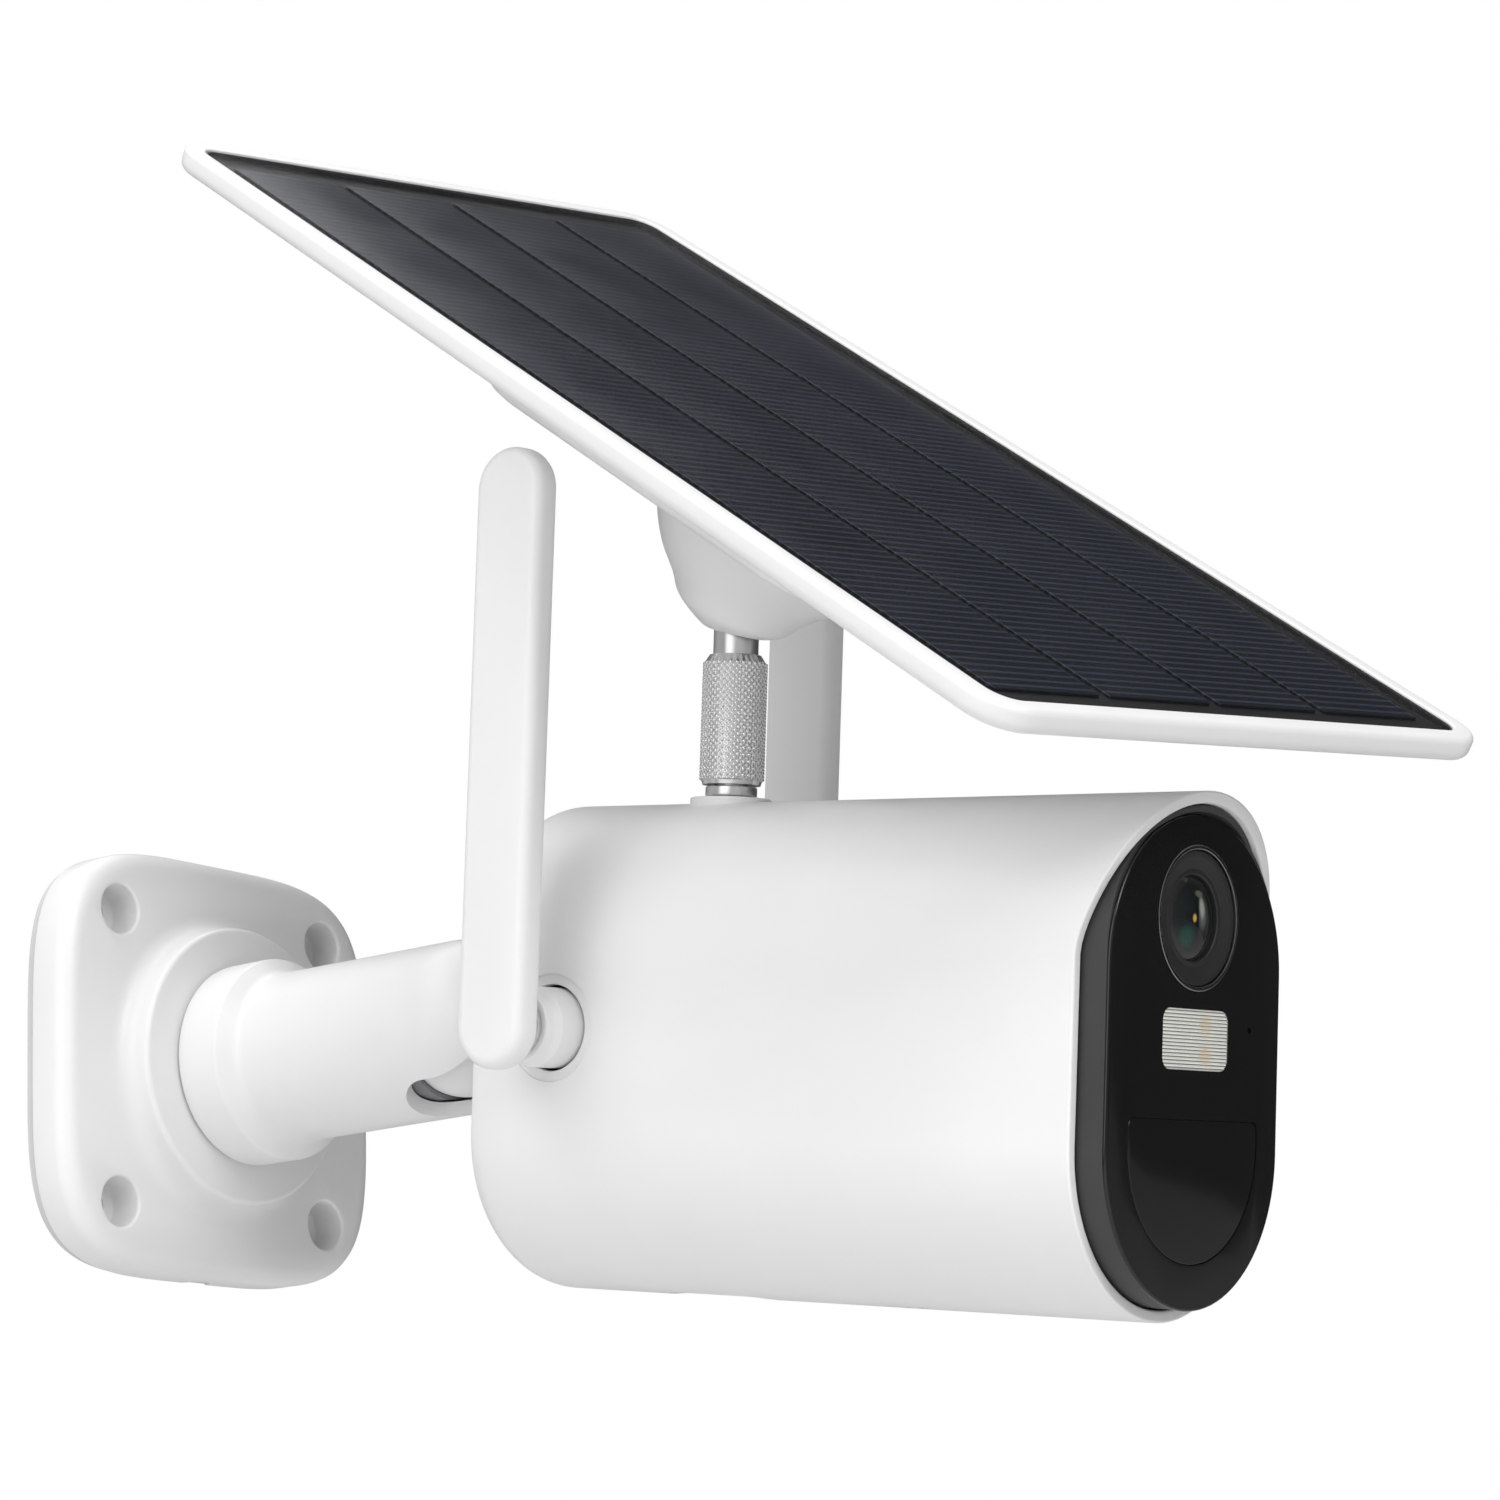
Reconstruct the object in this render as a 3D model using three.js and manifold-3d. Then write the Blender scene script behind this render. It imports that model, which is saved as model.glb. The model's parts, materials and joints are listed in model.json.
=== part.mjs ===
// Solar-powered security camera on a wall bracket, with a solar panel on a ball joint above it.
// Millimetres, +Z up. The origin is the centre of the wall plate's back, +Y runs into the wall,
// and the camera looks along -Y. Right and left are the camera's own, as it looks along -Y.
import * as THREE from "three";
import { mergeVertices } from "three/addons/utils/BufferGeometryUtils.js";
import Module from "manifold-3d";

// ---------------------------------------------------------------- driving sizes, in mm and degrees

const GAP = 0.3; // clearance between neighbouring pieces
const THROUGH = 1; // how far a cutting tool runs past the face that it cuts

// camera body: a stadium tube, closed at the back, with the face plane at y = 0 in its own frame
const BODY_WIDTH = 54;
const BODY_HEIGHT = 84;
const BODY_LENGTH = 132;
const SHELL_WALL = 2;
const BACK_WALL = 2.6;
const BACK_EDGE = 7;
const MOUTH_SETBACK = 5.3; // shell's front edge behind the face plane
const HOOD_REACH = 3; // hood's tip in front of the face plane
const HOOD_START = 16; // height at which the hood starts to lean forward
const LINER_SETBACK = 0.9; // hood lining behind the hood's edge

// front face
const FACE_TOP_INSET = 3.6; // face below the top of the body
const FACE_BOTTOM_INSET = 2.1; // face above the bottom of the body
const FACE_THICKNESS = 1.6;
const FACE_EDGE = 0.4;
const BEZEL_DEPTH = 12;
const BEZEL_WALL = 1.8;
const BEZEL_FRONT = 1.5;
const SEAL_WIDTH = 0.8; // seal ring between bezel and shell
const SEAL_GROOVE = 1;
const LENS_DROP = 20.1; // lens axis below the top of the body
const LENS_RING_RADIUS = 11.6;
const LENS_RING_WIDTH = 0.7;
const LENS_RING_PROUD = 0.2;
const LENS_SHROUD_WALL = 0.9;
const LENS_SHROUD_DEPTH = 1;
const LENS_GLASS_RADIUS = 6.8;
const LENS_DOME = 1.4;
const LENS_BARREL_RADIUS = 8.6;
const LENS_BARREL_LENGTH = 19;
const LED_WINDOW = [18.8, 9.6];
const LED_WINDOW_DROP = 7.6; // middle of the LED window below the lens ring
const LED_WINDOW_CORNER = 2;
const LED_SIZE = 2.8;
const LED_PITCH = 4.6;
const LED_THICKNESS = 1;
const LED_OFFSET = 3;
const MIC_OFFSET = [15.8, 2]; // from the middle of the LED window
const MIC_HOLE = 0.5;
const MIC_RADIUS = 2;
const PIR_WIDTH = 37;
const PIR_HEIGHT = 22.6;
const PIR_RISE = 7.3; // window's bottom above the face's bottom
const PIR_CORNER = 1.5;
const PIR_SENSOR_RADIUS = 4.6;

// electronics and battery
const BOARD = 1.4; // thickness of a circuit board
const FRONT_BOARD_AT = 11;
const LED_BOARD_AT = 6;
const SENSOR_BOARD = 24;
const MAIN_BOARD_INSET = 3; // board's edge from the shell
const MAIN_BOARD_AT = 30;
const MODEM_BOARD = [34, 30, 2.6];
const CELL_RADIUS = 9.1;
const CELL_REAR = 32; // cells' rear ends from the body's back
const CELL_SPACING = 0.7;
const HOLDER_WALL = 1.2;
const SPEAKER_RADIUS = 10;
const SPEAKER_HEIGHT = 4;
const SPEAKER_AT = 52;
const SPEAKER_HOLE = 0.9;
const SPEAKER_HOLE_PITCH = 3.4;
const PORT_LENGTH = 24;
const PORT_WIDTH = 10;
const PORT_FROM_BACK = 40;
const PORT_FLANGE = 1.2;

// antennas
const HUB_FROM_BACK = 20.7; // hubs' common axis from the body's back
const HUB_HEIGHT = 2.4;
const HUB_RECESS_RADIUS = 9.1;
const HUB_RECESS_DEPTH = 0.4;
const HUB_RADIUS = 7;
const HUB_NOSE_RADIUS = 5.7;
const HUB_LENGTH = 7.4; // hub's outer end from the body's side
const HUB_FLANGE = 2;
const PIVOT_RADIUS = 2.2;
const PIVOT_HEAD = [4, 1.8];
const PIVOT_WASHER = [4.9, 1];
const ANTENNA_BOSS = 4.6;
const ANTENNA_CLEARANCE = 3; // paddle's inner face from the hub's outer end
const ANTENNA_THICKNESS = 5.6;
const ANTENNA_WIDTH = 15;
const ANTENNA_LENGTH = 104.9;
const ANTENNA_EDGE = 1.6;

// stud, sleeve and ball under the panel
const STUD_FROM_BACK = 36.6;
const STUD_BOSS = [7, 0.8];
const STUD_COLLAR = [4.45, 1.7];
const STUD_RADIUS = 2.5;
const STUD_NUT = [5.8, 4.5];
const SLEEVE_RADIUS = 5.6;
const SLEEVE_LENGTH = 22.4;
const SLEEVE_CHAMFER = 1.1;
const SLEEVE_ENGAGED = 13; // length of the stud inside the sleeve
const STEM_RADIUS = 3.9;
const PANEL_BALL_RADIUS = 7;
const PANEL_BALL_HEIGHT = 36.7; // ball's centre above the top of the body

// solar panel, in the ball's frame with +Z along the panel's normal
const PANEL_WIDTH = 115;
const PANEL_LENGTH = 234;
const PANEL_CORNER = 8;
const PANEL_TOP = 31;
const RIM_WIDTH = 3.7;
const RIM_PROUD = 0.4;
const TRAY_HEIGHT = 4.4;
const TRAY_EDGE = 2.4;
const TRAY_FLOOR = 1;
const GLASS = 1.1;
const BACKING = 0.6;
const CELL_MARGIN = [3.4, 6.3]; // strips from the rim's long sides and from its ends
const CELL_STRIP_GAP = 2;
const CELL_STRIP_THICKNESS = 0.4;
const CELL_STRIPS = 4;
const PLATEAU = [84, 108];
const PLATEAU_SHIFT = -8;
const PLATEAU_DEPTH = 7.6;
const PLATEAU_EDGE = 4;
const PLATEAU_CORNER = 20;
const PLATEAU_WALL = 2;
const FOOT = [44, 66];
const FOOT_SHIFT = -11;
const FOOT_DEPTH = 5.4;
const FOOT_EDGE = 3.4;
// the cup's sections below the foot: half width, half length, place of the middle, and height
const CUP_SECTIONS = [
  [4.5, 4.5, 0, -7],
  [6.8, 8, -0.1, -5.5],
  [8.8, 11.6, -0.2, -3.6],
  [10.4, 14, -0.3, -0.7],
  [13.2, 18.6, -0.6, 3.5],
  [16.8, 24.8, -4, 9],
];
const CAP_BOTTOM = 3;
const PANEL_SCREW = [1.5, 2.8, 1.7]; // shank radius, head radius, head height
const PANEL_SCREW_SPACING = 48;
const JUNCTION_BOARD = [30, 20];
const PANEL_SLOT = [-36, -4]; // swing of the stem in the cup, from the panel's normal

// wall bracket
const PLATE_WIDTH = 81.6;
const PLATE_HEIGHT = 78.4;
const PLATE_THICKNESS = 10.5; // from the wall to the screw-head plane, gasket included
const PLATE_EDGE = 3.4;
const PLATE_SQUARENESS = 4.2; // exponent of the superellipse outline
const GASKET = 1.5;
const GASKET_INSET = 0.6;
const HOLE_INSET = [13.8, 12.2]; // screws from the plate's sides and from its top and bottom
const SCREW_HOLE = 2.4;
const COUNTERBORE = [4.6, 7];
const BOSS_FOOT_RADIUS = 28;
const BOSS_TOP_RADIUS = 26;
const BOSS_HEIGHT = 5.7;
const COLLAR_STEP = 3.05; // collar's rim outside the arm
const COLLAR_LENGTH = 9.5;
const COLLAR_CONE = 2.8;
const ARM_WALL = 3.05; // around the ball
const ARM_LENGTH = 60.2; // screw-head plane to the ball's centre
const SPIGOT_RADIUS = 9;
const SWIVEL_SCREW = [3, 6, 3]; // shank radius, head radius, head height
const SWIVEL_SCREW_LENGTH = 14;
const SWIVEL_WASHER = [13, 1.3];
const SWIVEL_FLOOR = 3; // plate's floor behind the washer's seat, from the screw-head plane
const CABLE_NOTCH = [6, 3];
const ARM_BALL_RADIUS = 12.6;
const SEAT_LENGTH = 8;
const SEAT_INSIDE = 3.6; // middle of the seat inside the ball's rear
const SOCKET_SPARE = 9.4; // bottom of the socket's bore behind the ball
const SLOT_HALF = 6.7;
const SLOT_SWING = [-14, 95]; // swing of the neck in the socket, from the arm's axis
const LOCK_SCREW_RADIUS = 2;
const NECK_RADIUS = 5.2;
const NECK_SHOWN = 6.35; // camera's back from the end of the arm
const NECK_HEIGHT = 3.1; // neck above the middle of the camera's back
const THREAD_RADIUS = 4;
const THREAD_INSIDE = 9;
const LOCK_NUT = [8.6, 3.4];
const REAR_NUT = [8, 4];

// rest pose, in degrees
const ARM_TURN = 21.5; // arm about the wall's normal, which brings the slot to the side
const HEAD_ROLL = -4.5;
const HEAD_PITCH = 8.3;
const HEAD_YAW = -0.9;
const PANEL_TURN = -7.3;
const PANEL_SLOPE = 28.6;
const PANEL_ROLL = -2.7;

// facets on a full circle, on one arc of an outline, and across a rounded edge
const FINE = 28;
const ROUND = 20;
const SMALL = 12;
const BALL = 24;
const ARC = 12;
const OUTLINE = 48;
const DOME = 5;
const CORNER_ARC = 4;
const EDGE_STEPS = 2;

// ---------------------------------------------------------------- materials

function finish(color, roughness, metalness = 0) {
  return new THREE.MeshStandardMaterial({ color, roughness, metalness });
}

const WHITE_PLASTIC = finish(0xf1f1f0, 0.42);
const WHITE_PAINT = finish(0xeeeeed, 0.38);
const GLOSS_BLACK = finish(0x101112, 0.08);
const MATTE_BLACK = finish(0x1a1a1b, 0.6);
const STEEL = finish(0xb9babb, 0.32, 1);
const BRIGHT_METAL = finish(0xc9cacb, 0.22, 1);
const LENS_GLASS = finish(0x182420, 0.04);
const CLEAR = finish(0xe2e3df, 0.2);
const PANEL_GLASS = finish(0x14181c, 0.2);
const SOLAR_CELL = finish(0x1b2230, 0.35);
const RUBBER = finish(0x232323, 0.85);
const FOAM = finish(0xd4d4d2, 0.9);
const GREEN_BOARD = finish(0x1f5a3a, 0.55);
const DARK_BOARD = finish(0x15171a, 0.6);
const LED_YELLOW = finish(0xf0cf6a, 0.35);
const CELL_SLEEVE = finish(0x2f6fb0, 0.45);
const GREY_PLASTIC = finish(0x77797b, 0.6);

// ---------------------------------------------------------------- solids

const wasm = await Module();
wasm.setup();

const X = new THREE.Vector3(1, 0, 0);
const Y = new THREE.Vector3(0, 1, 0);
const Z = new THREE.Vector3(0, 0, 1);
const AXES = {
  x: new THREE.Matrix4().makeBasis(Y, Z, X),
  y: new THREE.Matrix4().makeBasis(X, Z, Y.clone().negate()),
  z: new THREE.Matrix4(),
};

// A closed geometry as a solid with its faces pointing out.
function solid(geometry) {
  const bare = geometry.clone();
  bare.deleteAttribute("normal");
  bare.deleteAttribute("uv");
  const merged = mergeVertices(bare, 1e-4);
  const build = (triVerts) =>
    new wasm.Manifold(
      new wasm.Mesh({ numProp: 3, vertProperties: merged.attributes.position.array, triVerts }),
    );
  const triVerts = new Uint32Array(merged.index.array);
  const made = build(triVerts);
  return made.volume() < 0 ? build(triVerts.reverse()) : made;
}

function geometryOf(manifold) {
  const { vertProperties, triVerts } = manifold.getMesh();
  const geometry = new THREE.BufferGeometry();
  geometry.setAttribute("position", new THREE.BufferAttribute(vertProperties, 3));
  geometry.setIndex(new THREE.BufferAttribute(triVerts, 1));
  return geometry.toNonIndexed();
}

// A shape extruded along an axis between two places, with rounded edges at both ends.
// Along x the shape's plane is (y, z), along y it is (x, z), and along z it is (x, y).
function prism(shape, axis, from, to, edge = 0, curveSegments = ARC) {
  const geometry = new THREE.ExtrudeGeometry(shape, {
    depth: to - from - 2 * edge,
    curveSegments,
    bevelEnabled: edge > 0,
    bevelThickness: edge,
    bevelSize: edge,
    bevelOffset: -edge,
    bevelSegments: EDGE_STEPS,
  });
  const start = axis === "y" ? to - edge : from + edge;
  geometry.applyMatrix4(AXES[axis]);
  geometry.translate(...["x", "y", "z"].map((a) => (a === axis ? start : 0)));
  return solid(geometry);
}

// A profile of [radius, place] points turned about an axis.
function turned(profile, axis = "y", segments = ROUND) {
  const points = profile.map(([radius, place]) => new THREE.Vector2(radius, place));
  const geometry = new THREE.LatheGeometry(points, segments);
  if (axis === "z") geometry.rotateX(Math.PI / 2);
  if (axis === "x") geometry.rotateZ(-Math.PI / 2);
  return solid(geometry);
}

// A plain rod, or a ring where it has a bore.
function rod(radius, from, to, axis = "y", segments = ROUND, bore = 0) {
  const outer = [
    [radius, from],
    [radius, to],
  ];
  if (bore > 0) return turned([[bore, from], ...outer, [bore, to], [bore, from]], axis, segments);
  return turned([[0, from], ...outer, [0, to]], axis, segments);
}

function ball(radius) {
  return solid(new THREE.SphereGeometry(radius, BALL, BALL / 2));
}

function block(width, depth, height) {
  return solid(new THREE.BoxGeometry(width, depth, height));
}

function hexagon(radius, from, to, axis = "y", bore = 0) {
  return rod(radius, from, to, axis, 6).subtract(
    rod(bore, from - THROUGH, to + THROUGH, axis, SMALL),
  );
}

// Ellipses stacked along z, each [half width, half length, y, z], with straight sides between them.
function lofted(sections) {
  const rings = sections.map(([halfWidth, halfLength, y, z]) => {
    const curve = new THREE.EllipseCurve(0, y, halfWidth, halfLength);
    return curve.getPoints(FINE).slice(1).map((point) => [point.x, point.y, z]);
  });
  const layers = rings.slice(1).map((ring, i) => wasm.Manifold.hull([...rings[i], ...ring]));
  return wasm.Manifold.union(layers);
}

// ---------------------------------------------------------------- outlines

function stadium(halfWidth, top, bottom = -top) {
  const shape = new THREE.Shape();
  shape.absarc(0, top - halfWidth, halfWidth, 0, Math.PI, false);
  shape.absarc(0, bottom + halfWidth, halfWidth, Math.PI, 2 * Math.PI, false);
  return shape;
}

function roundedRectangle(width, height, radius) {
  const x = width / 2 - radius;
  const y = height / 2 - radius;
  const shape = new THREE.Shape();
  shape.absarc(x, y, radius, 0, Math.PI / 2, false);
  shape.absarc(-x, y, radius, Math.PI / 2, Math.PI, false);
  shape.absarc(-x, -y, radius, Math.PI, 1.5 * Math.PI, false);
  shape.absarc(x, -y, radius, 1.5 * Math.PI, 2 * Math.PI, false);
  return shape;
}

function superellipse(width, height, exponent) {
  const shape = new THREE.Shape();
  const bent = (value) => Math.sign(value) * Math.abs(value) ** (2 / exponent);
  for (let i = 0; i < OUTLINE; i += 1) {
    const angle = (2 * Math.PI * i) / OUTLINE;
    const place = [(width / 2) * bent(Math.cos(angle)), (height / 2) * bent(Math.sin(angle))];
    if (i === 0) shape.moveTo(...place);
    else shape.lineTo(...place);
  }
  shape.closePath();
  return shape;
}

// A slot that lets a neck swing about the x axis between two angles, from -Y towards -Z.
function swingSlot(halfWidth, reach, angles) {
  const [low, high] = angles.map(THREE.MathUtils.degToRad);
  const fan = new THREE.Shape();
  fan.moveTo(0, 0);
  fan.lineTo(-reach * Math.cos(low), -reach * Math.sin(low));
  fan.absarc(0, 0, reach, Math.PI + low, Math.PI + high, false);
  const slot = prism(fan, "x", -halfWidth, halfWidth);
  const end = (angle) => {
    const geometry = new THREE.CylinderGeometry(halfWidth, halfWidth, reach, ROUND);
    geometry.translate(0, -reach / 2, 0);
    geometry.rotateX(angle);
    return solid(geometry);
  };
  return slot.add(end(low)).add(end(high));
}

// ---------------------------------------------------------------- scene graph

const radians = THREE.MathUtils.degToRad;
const camera = new THREE.Group();
const wall = new THREE.Group();
const arm = new THREE.Group();
const head = new THREE.Group();
const body = new THREE.Group();
const panel = new THREE.Group();
camera.add(wall, arm, head);
head.add(body);
body.add(panel);

const HALF_WIDTH = BODY_WIDTH / 2;
const HALF_HEIGHT = BODY_HEIGHT / 2;
const INNER_HALF = HALF_WIDTH - SHELL_WALL;
const INNER_TOP = HALF_HEIGHT - SHELL_WALL;
const STUD_AT = BODY_LENGTH - STUD_FROM_BACK;
const ARM_RADIUS = ARM_BALL_RADIUS + ARM_WALL;
const COLLAR_RADIUS = ARM_RADIUS + COLLAR_STEP;
const NECK_LENGTH = ARM_RADIUS + NECK_SHOWN;
const PIVOT_Y = -(PLATE_THICKNESS + ARM_LENGTH);
arm.rotation.y = radians(ARM_TURN);
head.position.y = PIVOT_Y;
head.rotation.set(radians(HEAD_PITCH), radians(HEAD_ROLL), radians(HEAD_YAW), "YXZ");
body.position.set(0, -(BODY_LENGTH + NECK_LENGTH), -NECK_HEIGHT);
panel.position.set(0, STUD_AT, HALF_HEIGHT + PANEL_BALL_HEIGHT);
panel.rotation.set(radians(PANEL_SLOPE), radians(PANEL_ROLL), radians(PANEL_TURN), "ZXY");

function place(group, name, made, material) {
  const mesh = new THREE.Mesh(geometryOf(made), material);
  mesh.name = name;
  group.add(mesh);
}

// ---------------------------------------------------------------- wall bracket

const BOSS_TOP = -(PLATE_THICKNESS + BOSS_HEIGHT);
const WASHER_SEAT = -(PLATE_THICKNESS - SWIVEL_FLOOR);
const WASHER_BACK = WASHER_SEAT + GAP + SWIVEL_WASHER[1];

function screwHoles(radius, from, to) {
  const across = PLATE_WIDTH / 2 - HOLE_INSET[0];
  const up = PLATE_HEIGHT / 2 - HOLE_INSET[1];
  const holes = [];
  for (const x of [-across, across]) {
    for (const z of [-up, up]) {
      holes.push(rod(radius, from, to, "y", SMALL).translate([x, 0, z]));
    }
  }
  return wasm.Manifold.union(holes);
}

function wallGasket() {
  const size = [PLATE_WIDTH, PLATE_HEIGHT].map((length) => length - 2 * GASKET_INSET);
  const sheet = prism(superellipse(...size, PLATE_SQUARENESS), "y", -GASKET, 0);
  return sheet.subtract(screwHoles(SCREW_HOLE, -GASKET - THROUGH, THROUGH));
}

function basePlate() {
  const back = -(GASKET + GAP);
  const fillet = BOSS_FOOT_RADIUS - BOSS_TOP_RADIUS;
  const outline = superellipse(PLATE_WIDTH, PLATE_HEIGHT, PLATE_SQUARENESS);
  const halfSpace = block(2 * PLATE_WIDTH, PLATE_THICKNESS, 2 * PLATE_HEIGHT);
  const rounded = prism(outline, "y", -PLATE_THICKNESS, PLATE_EDGE, PLATE_EDGE);
  const slab = rounded.subtract(halfSpace.translate([0, back + PLATE_THICKNESS / 2, 0]));
  const boss = turned([
    [0, back - GAP],
    [BOSS_TOP_RADIUS, back - GAP],
    [BOSS_FOOT_RADIUS, -PLATE_THICKNESS],
    [BOSS_TOP_RADIUS + fillet / 3, BOSS_TOP + BOSS_HEIGHT / 2],
    [BOSS_TOP_RADIUS, BOSS_TOP + 1],
    [BOSS_TOP_RADIUS - 1, BOSS_TOP],
    [0, BOSS_TOP],
  ], "y", FINE);
  const pocket = rod(SWIVEL_WASHER[0] + GAP, WASHER_SEAT, THROUGH, "y", ROUND);
  const bore = rod(SPIGOT_RADIUS + GAP, BOSS_TOP - THROUGH, WASHER_SEAT + THROUGH);
  const notch = block(CABLE_NOTCH[0], 2 * CABLE_NOTCH[1], PLATE_HEIGHT);
  const [boreRadius, boreDepth] = COUNTERBORE;
  return slab
    .add(boss)
    .subtract(pocket)
    .subtract(bore)
    .subtract(notch.translate([0, back, -PLATE_HEIGHT / 2]))
    .subtract(screwHoles(SCREW_HOLE, -PLATE_THICKNESS - THROUGH, THROUGH))
    .subtract(screwHoles(boreRadius, -PLATE_THICKNESS - THROUGH, -PLATE_THICKNESS + boreDepth));
}

const SOCKET_DEPTH = ARM_BALL_RADIUS + SOCKET_SPARE;

// The arm's own ball frame has its origin at the ball's centre.
function inSocket(made) {
  return made.translate([0, PIVOT_Y, 0]);
}

function armTube() {
  const collarBack = BOSS_TOP - GAP;
  const collarFront = collarBack - COLLAR_LENGTH;
  const outer = turned([
    [0, WASHER_SEAT],
    [SPIGOT_RADIUS, WASHER_SEAT],
    [SPIGOT_RADIUS, collarBack],
    [COLLAR_RADIUS - 0.6, collarBack],
    [COLLAR_RADIUS, collarBack - 0.6],
    [COLLAR_RADIUS, collarFront],
    [ARM_RADIUS, collarFront - COLLAR_CONE],
    [ARM_RADIUS, PIVOT_Y],
    [0, PIVOT_Y],
  ], "y", FINE);
  const bore = rod(ARM_BALL_RADIUS + GAP, 0, SOCKET_DEPTH, "y", BALL);
  const cavity = ball(ARM_BALL_RADIUS + GAP).add(bore);
  const slot = swingSlot(SLOT_HALF, 2 * ARM_RADIUS, SLOT_SWING);
  const lockHole = rod(LOCK_SCREW_RADIUS + GAP, 0, 2 * ARM_RADIUS, "z", SMALL);
  const screwBore = rod(SWIVEL_SCREW[0] + GAP, PIVOT_Y + SOCKET_DEPTH - THROUGH, 0, "y", SMALL);
  return outer
    .add(inSocket(ball(ARM_RADIUS)))
    .subtract(inSocket(cavity))
    .subtract(inSocket(slot))
    .subtract(inSocket(lockHole))
    .subtract(screwBore);
}

function swivelScrew() {
  const [shank, headRadius, headHeight] = SWIVEL_SCREW;
  const seat = WASHER_BACK + GAP;
  const screw = rod(headRadius, seat, seat + headHeight).add(
    rod(shank, seat - SWIVEL_SCREW_LENGTH, seat + THROUGH, "y", SMALL),
  );
  return screw.subtract(rod(shank, seat + headHeight / 3, seat + 2 * headHeight, "y", 6));
}

function ballSeat() {
  const middle = ARM_BALL_RADIUS - SEAT_INSIDE;
  const plug = rod(ARM_BALL_RADIUS, middle - SEAT_LENGTH / 2, middle + SEAT_LENGTH / 2);
  return inSocket(plug.subtract(ball(ARM_BALL_RADIUS + GAP)));
}

function lockScrew() {
  const inner = ARM_BALL_RADIUS + GAP;
  const screw = rod(LOCK_SCREW_RADIUS, inner, ARM_RADIUS, "z", SMALL);
  const socket = rod(LOCK_SCREW_RADIUS / 2, (inner + ARM_RADIUS) / 2, ARM_RADIUS + THROUGH, "z", 6);
  return inSocket(screw.subtract(socket));
}

const [washerRadius, washerThickness] = SWIVEL_WASHER;
const swivelWasher = rod(
  washerRadius,
  WASHER_BACK - washerThickness,
  WASHER_BACK,
  "y",
  ROUND,
  SWIVEL_SCREW[0] + GAP,
);
place(wall, "wall_gasket", wallGasket(), FOAM);
place(wall, "base_plate", basePlate(), WHITE_PAINT);
place(arm, "arm_tube", armTube(), WHITE_PAINT);
place(arm, "swivel_washer", swivelWasher, STEEL);
place(arm, "swivel_screw", swivelScrew(), STEEL);
place(arm, "ball_seat", ballSeat(), GREY_PLASTIC);
place(arm, "socket_lock_screw", lockScrew(), STEEL);

// ---------------------------------------------------------------- neck and its nuts

const REAR_NUT_BACK = -(NECK_LENGTH + BACK_WALL + GAP);

function ballStud() {
  const shoulder = -(NECK_LENGTH - GAP - LOCK_NUT[1] - GAP);
  const neck = rod(NECK_RADIUS, shoulder, 0, "y", ROUND);
  const thread = rod(THREAD_RADIUS, -(NECK_LENGTH + THREAD_INSIDE), shoulder + THROUGH, "y", ROUND);
  return ball(ARM_BALL_RADIUS).add(neck).add(thread);
}

function nut([radius, thickness], from) {
  return hexagon(radius, from - thickness, from, "y", THREAD_RADIUS + GAP);
}

place(head, "camera_ball_stud", ballStud(), WHITE_PAINT);
place(head, "lock_nut", nut(LOCK_NUT, -(NECK_LENGTH - GAP - LOCK_NUT[1])), WHITE_PAINT);
place(head, "rear_nut", nut(REAR_NUT, REAR_NUT_BACK), STEEL);

// ---------------------------------------------------------------- shell

// What lies behind the shell's front edge, with its hood, seen from the side.
function behindHood(setback) {
  const lean = (MOUTH_SETBACK + HOOD_REACH) / (HALF_HEIGHT - HOOD_START);
  const over = HALF_HEIGHT + 2 * THROUGH;
  const side = new THREE.Shape();
  side.moveTo(MOUTH_SETBACK + setback, -over);
  side.lineTo(MOUTH_SETBACK + setback, HOOD_START);
  side.lineTo(setback + MOUTH_SETBACK - lean * (over - HOOD_START), over);
  side.lineTo(BODY_LENGTH + THROUGH, over);
  side.lineTo(BODY_LENGTH + THROUGH, -over);
  side.closePath();
  return prism(side, "x", -BODY_WIDTH, BODY_WIDTH);
}

const HUB_AT = [BODY_LENGTH - HUB_FROM_BACK, HUB_HEIGHT];

function speakerHoles() {
  const holes = [];
  for (const column of [-1, 0, 1]) {
    for (const row of [-1, 0, 1]) {
      const hole = rod(SPEAKER_HOLE, -HALF_HEIGHT - THROUGH, 0, "z", 8);
      holes.push(
        hole.translate([column * SPEAKER_HOLE_PITCH, SPEAKER_AT + row * SPEAKER_HOLE_PITCH, 0]),
      );
    }
  }
  return wasm.Manifold.union(holes);
}

function portOpening(inset, from, to) {
  const outline = roundedRectangle(
    PORT_WIDTH - 2 * inset,
    PORT_LENGTH - 2 * inset,
    PORT_WIDTH / 2 - inset,
  );
  return prism(outline, "z", from, to, 0, CORNER_ARC).translate([0, BODY_LENGTH - PORT_FROM_BACK, 0]);
}

function shellForm(inset, front, back, edge) {
  return prism(stadium(HALF_WIDTH - inset, HALF_HEIGHT - inset), "y", front, back, edge);
}

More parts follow.
